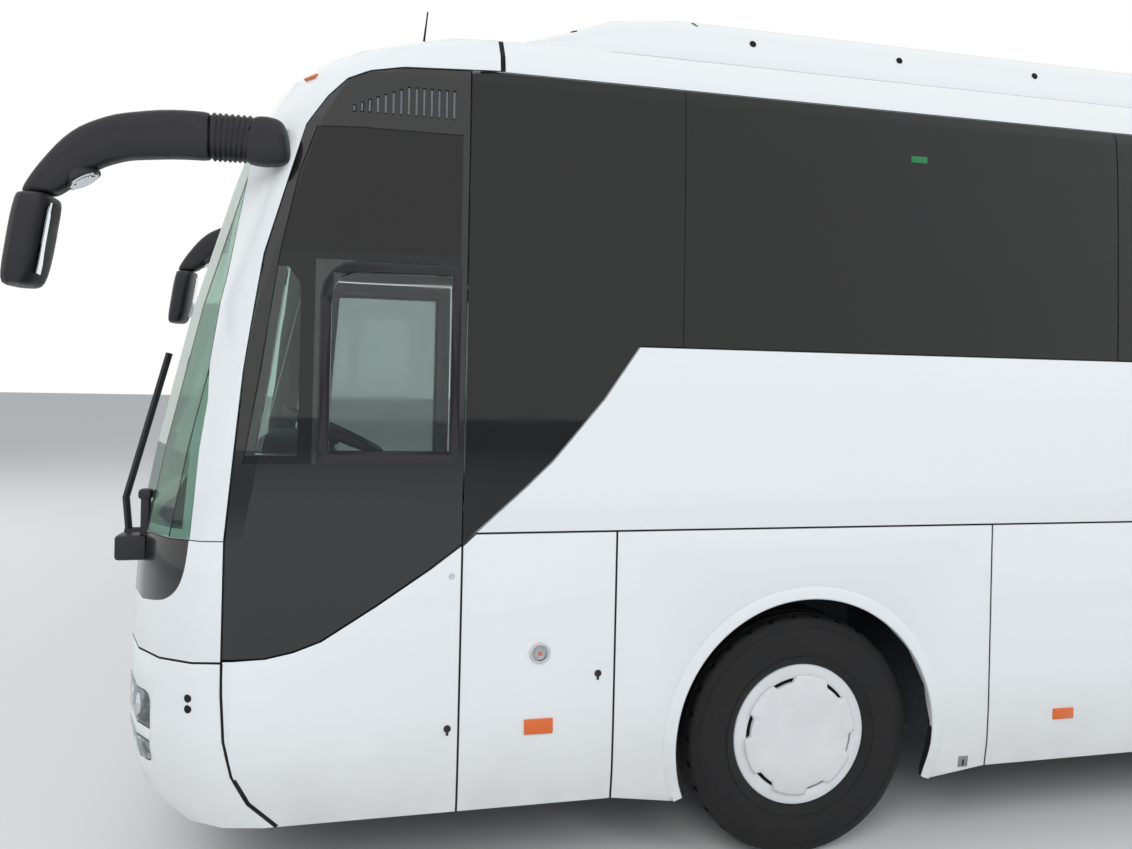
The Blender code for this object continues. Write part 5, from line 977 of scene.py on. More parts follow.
def make_side_fittings():
    """Reflectors, side repeaters, locks and plugs let into the panels."""
    x0 = FRONT_AXLE.x
    fit(lock_cover("flap_lock_mid"), "service_flap_mid", x0 + 0.931, 0.861, "mirror_shell")
    fit(lock_cover("flap_lock_front"), "service_flap_front", x0 + 1.528, 0.678, "mirror_shell")
    repeater = ("service_flap_mid", x0 + 1.171, 0.954)
    fit(button("side_indicator", 0.042, 0.008), *repeater, "chrome")
    fit(button("flap_stud", 0.012, 0.003), "service_flap_front", x0 + 1.524, 1.267, "chrome")
    fit(button("plug_upper", 0.015, 0.0025), "front_bumper", x0 + 2.473, 0.839, "seal")
    fit(button("plug_lower", 0.015, 0.0025), "front_bumper", x0 + 2.472, 0.800, "seal")
    fit(button("side_indicator_lens", 0.029, 0.012, -0.2), *repeater, "lens_clear")
    fit(button("side_indicator_bulb", 0.009, 0.0125, -0.2), *repeater, "lens_amber")
    reflector = badge("side_reflector_mid", 0.116, 0.060, 0.007)
    fit(reflector, "service_flap_mid", x0 + 1.170, 0.6645, "lens_amber")
    fit(badge("jack_mark", 0.050, 0.052, 0.002), "arch_panel_left", x0 - 0.764, 0.372, "zinc")
    # the jacking slot is a black badge: painted shade inside the slot
    fit(badge("jack_slot_shade", 0.011, 0.030, 0.0035), "arch_panel_left", x0 - 0.764, 0.368, "seal")
    for i, (on, x) in enumerate((("luggage_flap_left_front", 1.05), ("luggage_flap_left_rear", -1.09))):
        fit(badge(f"bay_lock_left_{i}", *BAY_LOCK), on, x, BAY_LOCK_HEIGHT, "zinc")
        fit(badge(f"bay_reflector_left_{i}", *REFLECTOR), on, x + 0.7, REFLECTOR_HEIGHT, "lens_amber")
    reflector = badge("quarter_reflector_left", *REFLECTOR)
    fit(reflector, "rear_quarter_left", -4.60, REFLECTOR_HEIGHT, "lens_amber")
    right = (("luggage_flap_right_front", 1.05), ("luggage_flap_right_rear", -0.64),
             ("rear_quarter_right", -4.60))
    for i, (on, x) in enumerate(right):
        fit(badge(f"reflector_right_{i}", *REFLECTOR), on, x, REFLECTOR_HEIGHT, "lens_amber", -1)
    for i, (on, x) in enumerate(right[:2]):
        fit(badge(f"bay_lock_right_{i}", *BAY_LOCK), on, x, BAY_LOCK_HEIGHT, "zinc", -1)
    for side, word in SIDES:
        lamp = badge(f"marker_lamp_{word}", 0.075, 0.024, 0.009, 0.006)
        fit(lamp, "front_hoop", x0 + 2.100, 3.20, "lens_amber", side)
    sign = badge("green_plate", 0.080, 0.030, 0.003, 0.002)
    fit(sign, "side_glass_left", x0 - 0.485, 3.035, "sign_green")


# Front, rear and roof


def lamp_bowl(name, y, z, across, tall):
    """A bright dished reflector with its rim, drawn looking forward behind the lens."""
    place, _ = front_point("headlamp_left", y, z)
    obj = turned(name, [
        (0.006, -0.060), (across * 0.35, -0.052), (across * 0.48, -0.030), (across * 0.52, -0.012),
        (across * 0.50, -0.012), (across * 0.44, -0.030), (across * 0.30, -0.047), (0.004, -0.054),
    ], (place.x, y, z), "X", 36, closed=True)
    for vert in obj.data.vertices:
        vert.co.z = z + (vert.co.z - z) * tall / across
    return obj


LAMP_BOWLS = [  # y, z, wide, tall of the reflectors in the left lamp
    (1.010, 0.755, 0.100, 0.110), (0.890, 0.755, 0.105, 0.110), (0.775, 0.755, 0.080, 0.100),
    (0.980, 0.600, 0.070, 0.060), (0.880, 0.600, 0.070, 0.060),
]


def make_head_lamps():
    """Clear lenses, housings, and the bright bowls in each lamp."""
    bowls = [lamp_bowl(f"bowl_{i}", *bowl) for i, bowl in enumerate(LAMP_BOWLS)]
    on_both(joined(bowls), "lamp_bowls", "coach_body", "chrome")
    for side, word in SIDES:
        lens = copy_of(f"headlamp_{word}", f"lamp_lens_{word}")
        keep_faces(lens, lambda c, n: n.x > 0.25 or n.y * side > 0.8)
        modify(lens, "SOLIDIFY", thickness=0.004, offset=-1)
        dress(lens, "coach_body", "lens_clear", "lamp")
        back = copy_of(f"headlamp_{word}", f"lamp_bowl_{word}", 0.0045)
        keep_faces(back, lambda c, n: not (n.x > 0.25 or n.y * side > 0.8))
        modify(back, "SOLIDIFY", thickness=0.0015, offset=-1)
        dress(back, "coach_body", "chrome")
        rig.replaces(back, f"headlamp_{word}")


def oval(x, y, z, tall, wide, lean, sides=28, square=0.62):
    """A ring of points, an oval with squared shoulders, that leans forward by some degrees."""
    lean = math.radians(lean)
    points = []
    for i in range(sides):
        angle = 2 * math.pi * (i + 0.5) / sides
        c, s = math.cos(angle), math.sin(angle)
        across = wide / 2 * math.copysign(abs(c) ** square, c)
        up = tall / 2 * math.copysign(abs(s) ** square, s)
        points.append((x + up * math.sin(lean), y + across, z + up * math.cos(lean)))
    return points


MIRROR_ARM = [  # x, z, tall, wide, lean of each ring along the arm
    (5.455, 2.908, 0.172, 0.108, 0), (5.480, 2.908, 0.176, 0.110, 0), (5.560, 2.908, 0.176, 0.110, 0),
    (5.633, 2.902, 0.176, 0.110, 4), (5.700, 2.892, 0.170, 0.110, 9), (5.766, 2.882, 0.165, 0.110, 14),
    (5.816, 2.862, 0.160, 0.110, 21), (5.866, 2.840, 0.155, 0.110, 28), (5.910, 2.805, 0.146, 0.110, 39),
    (5.947, 2.762, 0.137, 0.110, 50), (5.985, 2.720, 0.124, 0.110, 64), (6.012, 2.686, 0.116, 0.110, 76),
    (6.030, 2.661, 0.112, 0.110, 90), (6.032, 2.655, 0.090, 0.090, 90),
]
MIRROR_HEAD = [  # x, z, long, wide of each ring down the head
    (6.033, 2.652, 0.080, 0.150), (6.033, 2.648, 0.104, 0.207), (6.034, 2.630, 0.112, 0.229),
    (6.045, 2.570, 0.114, 0.240), (6.056, 2.486, 0.1135, 0.242), (6.069, 2.400, 0.112, 0.238),
    (6.080, 2.340, 0.100, 0.228), (6.085, 2.320, 0.070, 0.190),
]
MIRROR_GLASS = [  # x, z, wide of each ring down the glass
    (6.040, 2.620, 0.150), (6.046, 2.590, 0.166), (6.060, 2.490, 0.170), (6.072, 2.405, 0.166),
    (6.080, 2.368, 0.146),
]
MIRROR_BRACKET = [  # x, y, z, tall, wide, lean of each ring along the bracket
    (5.185, 1.150, 2.915, 0.150, 0.060, 14), (5.215, 1.175, 2.912, 0.176, 0.095, 8),
    (5.270, 1.196, 2.905, 0.190, 0.112, 0), (5.318, 1.200, 2.905, 0.180, 0.112, -8),
    (5.336, 1.200, 2.907, 0.150, 0.090, -8),
]
BELLOWS_RINGS = 15


def make_mirrors():
    """Moulded arm with its bellows and bracket, the hanging head with its glass, and a small wide one."""
    y = 1.200
    arm = rings("mirror_arm", [oval(x, y, z, tall, wide, lean) for x, z, tall, wide, lean in MIRROR_ARM])
    head = rings("mirror_head", [oval(x, y, z, long, wide, 90) for x, z, long, wide in MIRROR_HEAD])
    folds = []
    for i in range(BELLOWS_RINGS):
        share = i / (BELLOWS_RINGS - 1)
        swell = 0.158 + (0.018 if i % 2 else 0)
        folds.append(oval(5.325 + 0.135 * share, y, 2.908, swell, swell * 0.62, -8 * (1 - share)))
    bellows = rings("mirror_bellows", folds)
    bracket = rings("mirror_bracket", [oval(*ring) for ring in MIRROR_BRACKET])
    for obj in (arm, head, bracket):
        modify(obj, "SUBSURF", levels=1, render_levels=1)
    shell = joined([arm, head, bellows, bracket])
    pane = rings("mirror_glass", [
        oval(x - 0.054, y - 0.012, z, 0.006, wide, 90) for x, z, wide in MIRROR_GLASS])
    only(pane)
    bpy.ops.object.mode_set(mode="EDIT")
    bpy.ops.mesh.select_all(action="SELECT")
    bpy.ops.transform.rotate(value=math.radians(-9), orient_axis="Z", center_override=(5.990, y, 2.490))
    bpy.ops.object.mode_set(mode="OBJECT")
    hanging = (Vector((5.893, y, 2.722)), Vector((-0.55, 0, -0.835)))
    small_pane = lay_on(button("wide_angle_glass", 0.056, 0.012, -0.3), *hanging)
    small_shell = lay_on(turned("wide_angle_shell", [
        (0.0, -0.030), (0.052, -0.026), (0.064, 0.0), (0.062, 0.008), (0.057, 0.009),
    ], (0, 0, 0), "Z", 32), *hanging)
    shells = on_both(joined([shell, small_shell]), "mirror_shell", "coach_body", "mirror_shell")
    for piece, (_, word) in zip(shells, SIDES):
        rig.replaces(piece, f"mirror_{word}")
    on_both(pane, "mirror_pane", "coach_body", "mirror_glass")
    on_both(small_pane, "wide_angle_pane", "coach_body", "mirror_glass")


def make_rear_fittings():
    """Stacked round tail lamps, reflectors, the bare plate and the lid's handle."""
    lamps, rims = [], []
    for i, (z, radius) in enumerate(((1.560, 0.052), (1.430, 0.052), (1.300, 0.052), (1.170, 0.044))):
        place, normal = front_point("rear_wall", 1.090, z, -1)
        rims.append(lay_on(button(f"tail_rim_{i}", radius + 0.008, 0.010, 0.0), place, normal))
        lamps.append(lay_on(button(f"tail_lamp_{i}", radius, 0.017, -0.15), place, normal))
    on_both(joined(rims), "tail_rims", "coach_body", "chrome")
    on_both(joined(lamps[:2]), "tail_lamps_red", "coach_body", "lens_red")
    on_both(joined(lamps[2:3]), "tail_lamps_amber", "coach_body", "lens_amber")
    on_both(joined(lamps[3:]), "tail_lamps_clear", "coach_body", "lens_clear")
    plate_at = front_point("rear_wall", 0.0, 0.520, -1)
    dress(lay_on(badge("rear_plate", *NUMBER_PLATE), *plate_at, 0.0034), "coach_body", "plate_blank")
    plate_at = front_point("front_bumper", 0.0, 0.560)
    dress(lay_on(badge("front_plate", *NUMBER_PLATE), *plate_at), "coach_body", "plate_blank")
    handle_at = front_point("engine_lid", 0.0, 0.690, -1)
    dress(lay_on(badge("lid_handle", 0.150, 0.035, 0.004, 0.003), *handle_at, 0.0025), "engine_lid", "seal")


def make_roof_fittings():
    """The pod's curved joint, its row of fasteners and the short aerial."""
    pod = frame["nodes"]["roof_pod"]
    for side, word in SIDES:
        for i, x in enumerate((4.02, 3.20, 2.45, 1.70, 0.95, 0.20)):
            hit, place, normal, _ = pod.ray_cast(Vector((x, side * 3, 3.585)), Vector((0, -side, 0)))
            if hit:
                cap = button(f"pod_fastener_{word}_{i}", 0.016, 0.003, 0.6, 16)
                dress(lay_on(cap, place, normal), "coach_body", "seal")
    loop = []
    for i in range(33):
        share = i / 32 * 2 - 1
        start = Vector((FRONT_AXLE.x + 0.495 - 0.076 * abs(share) ** 2, 1.6 * share, 5.0))
        hit, place, normal, _ = pod.ray_cast(start, Vector((0, -0.55 * share, -1)).normalized())
        if hit and place.z > 3.50:
            loop.append((place, normal))
    half = Vector((0.004, 0, 0))
    joint = rings("pod_joint", [
        [p + n * 0.0015 + half, p + n * 0.0015 - half, p - n * 0.003 - half, p - n * 0.003 + half]
        for p, n in loop])
    dress(joint, "coach_body", "seal")
    foot, _ = met("front_hoop", (4.683, 0.90, 5), (0, 0, -1))
    mast = turned("aerial", [
        (0.0, -0.004), (0.016, -0.004), (0.014, 0.012), (0.005, 0.022), (0.0035, 0.100), (0.003, 0.150),
        (0.0, 0.152)], (0, 0, 0), "Z", 16)
    dress(lay_on(mast, foot, Vector((-0.1, 0.25, 0.96)).normalized()), "coach_body", "seal")


# Windows and doors


def make_louvre_blades():
    """Pale upright blades in the air slots over the driver's window."""
    wide = bpy.context.scene.coach_sizes.blade_width
    blades = []
    for i in range(BLADES):
        head = BLADE_HEAD - BLADE_FALL * max(0, i - BLADE_LEVEL)
        x = FRONT_AXLE.x + BLADE_FIRST + BLADE_PITCH * i
        blade = badge(f"blade_{i}", wide, head - BLADE_FOOT - 0.008, 0.009, 0.002)
        blades.append(lay_on(blade, *skin_point("driver_panel", x, (BLADE_FOOT + head) / 2)))
    dress(joined(blades, "louvre_blades"), "coach_body", "blade_grey")


def make_wiper_hinges():
    """The pivot housing beside each wiper's foot, with the arm rest that stands up before the glass."""
    glass_face = front_point("windscreen", 0.99, 1.56)[0].x
    body = block("hinge_body", (5.700, 0.926, 1.300), (5.815, 1.020, 1.398), 0.014)
    stem = block("hinge_stem", (glass_face + 0.010, 0.975, 1.385), (glass_face + 0.044, 1.008, 1.560), 0.010)
    cap = block("hinge_cap", (glass_face + 0.004, 0.966, 1.535), (glass_face + 0.052, 1.017, 1.575), 0.012)
    on_both(joined([body, stem, cap]), "wiper_hinge", "coach_body", "mirror_shell")


def make_driver_window():
    """The sliding sash as a black frame round a clear pane."""
    def in_pane(c, n):
        return abs(n.y) > 0.8 and 4.575 < c.x < 5.005 and 1.745 < c.z < 2.415

    pane = keep_faces(copy_of("driver_sash", "sash_pane"), in_pane)
    dress(pane, "coach_body", "sash_glass", "dark_glass")
    rim = keep_faces(copy_of("driver_sash", "sash_frame"), lambda c, n: not in_pane(c, n))
    dress(rim, "coach_body", "mirror_shell")
    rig.replaces(rim, "driver_sash")


def pane_edges(which, z):
    """Rear and front edge of a door's pane; the front door's leans with the pillar."""
    low, high = DOOR_ENDS[which]
    lean = DOOR_LEAN * (z - DOOR_PANE[0]) if which == "front_door" else 0
    return low + PANE_MARGIN, high - lean - PANE_MARGIN


def leaf_y(which, z):
    """The outer face of a door beside its pane, at a height."""
    return skin_point(which, DOOR_ENDS[which][0] + PANE_MARGIN / 2, z, -1)[0].y


def make_door_panes():
    """Glass, rubber surround and handle of the two doors."""
    foot, head = DOOR_PANE
    front, back = 0.002, 0.007  # faces of the glass behind the leaf's face
    for which, (low, high) in DOOR_ENDS.items():
        panes = []
        for i in range(PANE_STEPS + 1):
            z = foot + (head - foot) * i / PANE_STEPS
            y = leaf_y(which, z)
            a, b = pane_edges(which, z)
            panes.append([(a, y + front, z), (b, y + front, z), (b, y + back, z), (a, y + back, z)])
        dress(rings(f"{which}_pane", panes), which, "sash_glass", "dark_glass")
        dress(door_rubber(which, foot, head), which, "seal")
        handle = badge(f"{which}_handle", 0.030, 0.140, 0.016, 0.008)
        dress(lay_on(handle, *skin_point(which, high - 0.045, 0.960, -1)), which, "seal")


def door_rubber(which, foot, head, wide=0.028, over=0.004, proud=0.0015, deep=0.010):
    """A flat rubber frame round the pane, following the leaf's curve."""
    up = [foot + (head - foot) * i / PANE_STEPS for i in range(PANE_STEPS + 1)]
    down = [head + (foot - head) * i / PANE_STEPS for i in range(PANE_STEPS + 1)]
    path = [(pane_edges(which, z)[0], z, -1) for z in up] + [(pane_edges(which, z)[1], z, 1) for z in down]
    loops = []
    for x, z, out in path:
        rise = wide * (-1 if z == foot else 1 if z == head else 0)
        near_x, near_z, near_y = x - out * over, z - rise * 0.15, leaf_y(which, z)
        far_x, far_z, far_y = x + out * wide, z + rise, leaf_y(which, z + rise)
        loops.append([(near_x, near_y - proud, near_z), (far_x, far_y - proud, far_z),
                      (far_x, far_y + deep, far_z), (near_x, near_y + deep, near_z)])
    return rings(f"{which}_rubber", loops + loops[:1])


# Seats


def cushion(name, low, high, crown=(0.012, 0.008, 0.022), cuts=2):
    """A crowned pad: full in the middle of each face, its sides drawn in, with two sewn channels."""
    fresh()
    low, high = Vector(low), Vector(high)
    bpy.ops.mesh.primitive_cube_add(size=1, location=(low + high) / 2)
    obj = take(name)
    obj.scale = high - low
    bpy.ops.object.transform_apply(location=True, rotation=True, scale=True)
    bpy.ops.object.mode_set(mode="EDIT")
    bpy.ops.mesh.select_all(action="SELECT")
    bpy.ops.mesh.bevel(offset=min(high - low) * 0.28, segments=2, profile=0.6)
    bpy.ops.mesh.select_all(action="SELECT")
    bpy.ops.mesh.subdivide(number_cuts=cuts)
    bpy.ops.object.mode_set(mode="OBJECT")
    middle, half = (low + high) / 2, (high - low) / 2
    for vert in obj.data.vertices:
        u = [(vert.co[i] - middle[i]) / half[i] for i in range(3)]
        channel = 0.004 * math.exp(-((abs(u[1]) - 0.62) / 0.06) ** 2)
        for i in range(3):
            j, k = (i + 1) % 3, (i + 2) % 3
            full = (1 - u[j] ** 2) * (1 - u[k] ** 2)
            vert.co[i] += u[i] * (crown[i] * (full - 0.55) - channel)
    return obj


def one_seat(name):
    """Cushion, reclined backrest and head pad, with the seat's front at x = 0 and its foot at z = 0."""
    seat = cushion(f"{name}_cushion", (-0.450, -0.212, 0.080), (-0.004, 0.212, 0.205))
    back = cushion(f"{name}_back", (-0.540, -0.212, 0.180), (-0.430, 0.212, 0.700))
    head = cushion(f"{name}_head", (-0.540, -0.140, 0.690), (-0.452, 0.140, 0.850))
    whole = joined([seat, back, head])
    for vert in whole.data.vertices:
        vert.co.x -= 0.105 * max(0, vert.co.z - 0.43)
    return whole


def bar(name, rear, front, side, half, foot, head, round_by):
    """A bar of the seats' frame between a side's places; foot and head are heights over the floor."""
    y = side * LEG_PLACE
    return block(name, (rear, y - half, FLOOR + foot), (front, y + half, FLOOR + head), round_by)


def make_seats():
    """Pairs of padded seats on pressed legs and a floor rail, on both sides of the aisle."""
    pattern = one_seat("seat_pattern")
    for side, word in SIDES:
        pads, legs = [], []
        for x in SEAT_STATIONS[side]:
            for y in SEAT_PLACES:
                pads.append(moved_copy(pattern, "pad", (x, side * y, FLOOR + 0.240)))
            legs.append(bar("leg", x - 0.42, x - 0.20, side, 0.035, 0.020, 0.320, 0.006))
            legs.append(bar("beam", x - 0.40, x - 0.34, side, 0.40, 0.290, 0.330, 0.006))
        rows = dress(joined(pads, f"seat_pads_{word}"), "coach_body", "moquette", "seat_fabric")
        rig.padded(rows, fill=0.8)
        first, last = max(SEAT_STATIONS[side]), min(SEAT_STATIONS[side])
        legs.append(bar("rail", last - 0.55, first, side, 0.040, 0.0005, 0.024, 0.004))
        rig.replaces(dress(joined(legs, f"seat_legs_{word}"), "coach_body", "zinc"), f"seats_{word}")
    driver = moved_copy(pattern, "driver_pads", (4.74, 0.64, CAB_FLOOR + 0.320))
    dress(driver, "coach_body", "moquette", "seat_fabric")
    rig.padded(driver, fill=0.8)
    bpy.data.objects.remove(pattern)
    base = block("driver_pedestal", (4.22, 0.50, CAB_FLOOR + 0.0005), (4.56, 0.78, CAB_FLOOR + 0.400), 0.020)
    dress(base, "coach_body", "dash_skin")
    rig.replaces(base, "driver_seat")


def make_desk_fittings():
    """Instrument hood, dials' binnacle glass and switch row on the desk."""
    hood = block("desk_hood", (5.06, 0.36, 1.680), (5.32, 0.88, 1.775), 0.030)
    dress(hood, "coach_body", "dash_skin")
    dials = block("desk_dials", (5.048, 0.42, 1.690), (5.062, 0.82, 1.755), 0.006)
    dress(dials, "coach_body", "black_acrylic")
    keys = []
    for i in range(6):
        y = 0.02 + 0.045 * i
        keys.append(block("key", (5.02, y, 1.690), (5.05, y + 0.035, 1.716), 0.003))
    dress(joined(keys), "coach_body", "lens_frame")


# Stage


def make_stage():
    """Pale floor, soft lamps, white surround and the camera at the photograph's angle."""
    look = bpy.context.scene.coach_stage
    fresh()
    bpy.ops.mesh.primitive_grid_add(x_subdivisions=8, y_subdivisions=8, size=120, location=(0, 0, -0.0005))
    ground = take("ground")
    made = bpy.data.materials.new("Pale studio floor")
    made.use_nodes = True
    shader = made.node_tree.nodes["Principled BSDF"]
    shader.inputs["Base Color"].default_value = (0.78, 0.78, 0.78, 1)
    shader.inputs["Roughness"].default_value = 0.9
    shader.inputs["Specular IOR Level"].default_value = 0.1
    ground.data.materials.append(made)
    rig.stage(ground)
    world = bpy.data.worlds.new("White studio")
    bpy.context.scene.world = world
    world.use_nodes = True
    tree = world.node_tree
    plain = tree.nodes["Background"]
    plain.inputs["Color"].default_value = (0.93, 0.96, 1.0, 1)
    plain.inputs["Strength"].default_value = look.surround
    white = node(tree, "ShaderNodeBackground", in_0=(1, 1, 1, 1), in_1=1.0)
    rays = node(tree, "ShaderNodeLightPath").outputs
    seen = math_node(tree, "MAXIMUM", rays["Is Camera Ray"], rays["Is Glossy Ray"])
    seen = math_node(tree, "MAXIMUM", seen, rays["Is Transmission Ray"])
    mix = node(tree, "ShaderNodeMixShader", [(0, seen), (1, plain.outputs[0]), (2, white.outputs[0])])
    tree.links.new(mix.outputs[0], tree.nodes["World Output"].inputs["Surface"])
    lamps = (("key lamp", (9, 12, 11), 1.0, 9), ("fill lamp", (-8, 10, 9), 0.6, 9),
             ("front lamp", (14, -6, 9), 0.6, 8))
    for name, place, share, size in lamps:
        lamp = bpy.data.objects.new(name, bpy.data.lights.new(name, "AREA"))
        lamp.data.energy, lamp.data.size = look.key * share, size
        lamp.location = place
        lamp.visible_glossy = False
        lamp.rotation_euler = (Vector((1, 0, 1.5)) - Vector(place)).to_track_quat("-Z", "Y").to_euler()
        bpy.context.scene.collection.objects.link(lamp)
    camera = bpy.data.objects.new("camera", bpy.data.cameras.new("camera"))
    yaw, roll = math.radians(look.yaw), math.radians(look.roll)
    ahead = Vector((math.sin(yaw), -math.cos(yaw), 0))
    right = ahead.cross(Vector((0, 0, 1)))
    across = right * math.cos(roll) + Vector((0, 0, 1)) * math.sin(roll)
    upward = Vector((0, 0, 1)) * math.cos(roll) - right * math.sin(roll)
    turn = Matrix((across, upward, -ahead)).transposed()
    camera.matrix_world = Matrix.Translation(look.place) @ turn.to_4x4()
    camera.data.sensor_width, camera.data.lens, camera.data.shift_y = 36, look.lens, look.shift
    camera.data.clip_start, camera.data.clip_end = 0.05, 400
    bpy.context.scene.collection.objects.link(camera)
    bpy.context.scene.camera = camera
    bpy.context.scene.view_settings.view_transform = "Standard"


# Add-on


def colour_property(name, description, default):
    """A colour kept as it shows on screen, with its default given as hex."""
    return bpy.props.FloatVectorProperty(
        name=name, description=f"{description}, as shown on screen", subtype="COLOR_GAMMA", size=3,
        min=0, max=1, default=[int(default[i : i + 2], 16) / 255 for i in (0, 2, 4)])


def length_property(name, description, default):
    """A length in metres."""
    return bpy.props.FloatProperty(
        name=name, description=description, subtype="DISTANCE", unit="LENGTH", min=0, default=default)


class CoachColours(bpy.types.PropertyGroup):
    white: colour_property("Body white", "Enamel of the body panels", "E7EBED")
    side_tint: colour_property("Side glass tint", "Tint of the side and rear glass", "1A2024")
    screen_tint: colour_property("Screen tint", "Tint of the windscreen", "B4D2C6")
    fabric_dark: colour_property("Fabric ground", "Darker yarn of the seats' moquette", "1B2740")
    fabric_light: colour_property("Fabric check", "Paler yarn of the seats' moquette", "3D5580")


class CoachSizes(bpy.types.PropertyGroup):
    panel_edge: length_property("Panel edge", "Width of the rolled edge of the body panels", 0.0022)
    joint_rubber: length_property("Joint rubber", "Width of the rubber in most panel joints", 0.0060)
    door_rubber: length_property("Door rubber", "Width of the rubber round each door leaf", 0.0070)
    lip_proud: length_property("Arch lip", "How far the lip round each wheel arch stands out", 0.0060)
    lock_radius: length_property("Lock radius", "Radius of the flaps' keyhole covers", 0.014)
    blade_width: length_property("Louvre blade", "Width of the louvre's blades", 0.009)


class CoachStage(bpy.types.PropertyGroup):
    place: bpy.props.FloatVectorProperty(
        name="Camera place", description="Where the camera stands", subtype="XYZ", unit="LENGTH", size=3,
        default=(4.836, 4.571, 2.055))
    yaw: bpy.props.FloatProperty(
        name="Camera yaw", description="Turn of the camera from straight across, in degrees", default=-12.42)
    roll: bpy.props.FloatProperty(
        name="Camera roll", description="Tilt of the horizon, in degrees", default=1.30)
    lens: bpy.props.FloatProperty(
        name="Lens", description="Focal length in millimetres", unit="CAMERA", min=1, default=27.03)
    shift: bpy.props.FloatProperty(
        name="Shift", description="Upward shift of the picture, as a share of its width", default=-0.044)
    key: bpy.props.FloatProperty(
        name="Key lamp", description="Power of the key lamp", unit="POWER", min=0, default=900)
    surround: bpy.props.FloatProperty(
        name="Surround", description="Light from all round", min=0, default=0.55)


class MakeFinishes(bpy.types.Operator):
    """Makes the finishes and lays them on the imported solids"""
    bl_idname = "coach.finishes"
    bl_label = "Finishes"

    def execute(self, context):
        make_finishes()
        paint_nodes()
        return {"FINISHED"}


class MakeSeals(bpy.types.Operator):
    """Rubber in the joints between the panels"""
    bl_idname = "coach.seals"
    bl_label = "Seals"

    def execute(self, context):
        make_seals()
        return {"FINISHED"}


class MakeTyres(bpy.types.Operator):
    """Ribbed tyres with ringed sidewalls"""
    bl_idname = "coach.tyres"
    bl_label = "Tyres"

    def execute(self, context):
        make_tyres()
        return {"FINISHED"}


class MakeTrims(bpy.types.Operator):
    """Front wheel trims and barrels, rear wheel nuts and hub caps"""
    bl_idname = "coach.trims"
    bl_label = "Wheel trims"

    def execute(self, context):
        make_front_trims()
        make_rear_hubs()
        return {"FINISHED"}


class MakeArchLips(bpy.types.Operator):
    """Raised lips round the wheel arches"""
    bl_idname = "coach.arch_lips"
    bl_label = "Arch lips"

    def execute(self, context):
        make_arch_lips()
        return {"FINISHED"}


class MakeSideFittings(bpy.types.Operator):
    """Reflectors, locks, plugs and marker lamps on the panels"""
    bl_idname = "coach.side_fittings"
    bl_label = "Side fittings"

    def execute(self, context):
        make_side_fittings()
        make_wiper_hinges()
        return {"FINISHED"}


class MakeLamps(bpy.types.Operator):
    """Head lamp lenses, housings and bowls"""
    bl_idname = "coach.lamps"
    bl_label = "Head lamps"

    def execute(self, context):
        make_head_lamps()
        return {"FINISHED"}


class MakeMirrors(bpy.types.Operator):
    """Mirror arms, heads and glasses"""
    bl_idname = "coach.mirrors"
    bl_label = "Mirrors"

    def execute(self, context):
        make_mirrors()
        return {"FINISHED"}


class MakeRear(bpy.types.Operator):
    """Tail lamps, bare plates and lid handle"""
    bl_idname = "coach.rear"
    bl_label = "Rear fittings"

    def execute(self, context):
        make_rear_fittings()
        return {"FINISHED"}


class MakeRoof(bpy.types.Operator):
    """Pod joint, fasteners and aerial"""
    bl_idname = "coach.roof"
    bl_label = "Roof fittings"

    def execute(self, context):
        make_roof_fittings()
        return {"FINISHED"}


class MakeWindows(bpy.types.Operator):
    """Sliding sash, door panes and handles"""
    bl_idname = "coach.windows"
    bl_label = "Windows and doors"

    def execute(self, context):
        make_louvre_blades()
        make_driver_window()
        make_door_panes()
        return {"FINISHED"}


class MakeSeats(bpy.types.Operator):
    """Padded seats, legs and rails"""
    bl_idname = "coach.seats"
    bl_label = "Seats"

    def execute(self, context):
        make_seats()
        return {"FINISHED"}


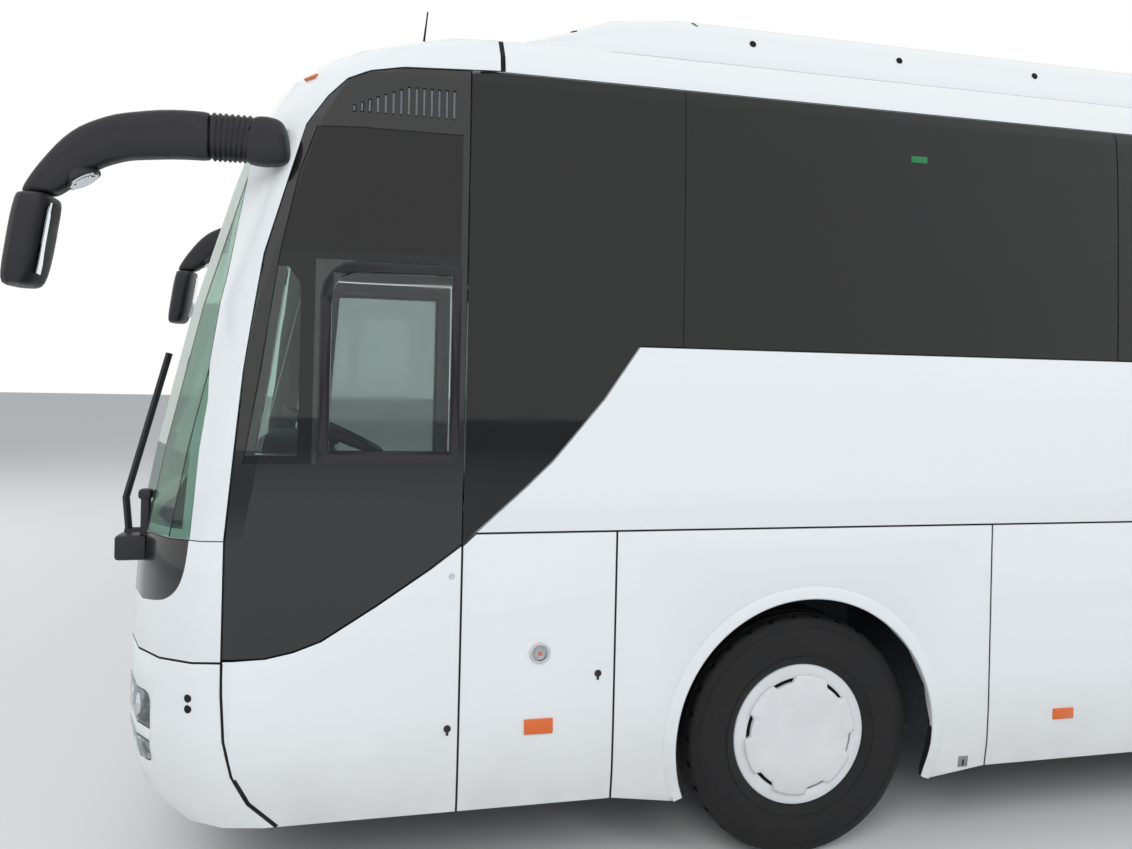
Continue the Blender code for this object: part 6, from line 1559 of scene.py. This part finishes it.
class MakeDesk(bpy.types.Operator):
    """Instrument hood, dials and keys"""
    bl_idname = "coach.desk"
    bl_label = "Desk"

    def execute(self, context):
        make_desk_fittings()
        return {"FINISHED"}


class MakePanels(bpy.types.Operator):
    """Body panels with rolled edges"""
    bl_idname = "coach.panels"
    bl_label = "Panels"

    def execute(self, context):
        make_panels()
        return {"FINISHED"}


class MakeStage(bpy.types.Operator):
    """Floor, lamps, surround and camera"""
    bl_idname = "coach.stage"
    bl_label = "Stage"

    def execute(self, context):
        make_stage()
        return {"FINISHED"}


OPERATORS = (
    MakeFinishes, MakeSeals, MakeTyres, MakeTrims, MakeArchLips, MakeSideFittings, MakeLamps,
    MakeMirrors, MakeRear, MakeRoof, MakeWindows, MakeSeats, MakeDesk, MakePanels, MakeStage,
)


class COACH_PT_panel(bpy.types.Panel):
    """Sizes, colours and pieces of the coach's looks"""
    bl_label = "Touring coach"
    bl_idname = "COACH_PT_panel"
    bl_space_type = "VIEW_3D"
    bl_region_type = "UI"
    bl_category = "Coach"

    def draw(self, context):
        scene = context.scene
        for group in (scene.coach_colours, scene.coach_sizes, scene.coach_stage):
            for key in group.__annotations__:
                self.layout.prop(group, key)
        for kind in OPERATORS:
            self.layout.operator(kind.bl_idname)


CLASSES = (CoachColours, CoachSizes, CoachStage) + OPERATORS + (COACH_PT_panel,)


def register():
    for kind in CLASSES:
        bpy.utils.register_class(kind)
    bpy.types.Scene.coach_colours = bpy.props.PointerProperty(type=CoachColours)
    bpy.types.Scene.coach_sizes = bpy.props.PointerProperty(type=CoachSizes)
    bpy.types.Scene.coach_stage = bpy.props.PointerProperty(type=CoachStage)


def unregister():
    del bpy.types.Scene.coach_stage
    del bpy.types.Scene.coach_sizes
    del bpy.types.Scene.coach_colours
    for kind in reversed(CLASSES):
        bpy.utils.unregister_class(kind)


def main():
    register()
    for kind in OPERATORS:
        group, name = kind.bl_idname.split(".")
        getattr(getattr(bpy.ops, group), name)()
    boxes = {"cad": [list(v) for v in CAD_BOX], "model": [list(v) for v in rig.bounds()]}
    with open("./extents.json", "w") as out:
        json.dump(boxes, out)


if __name__ == "__main__":
    main()
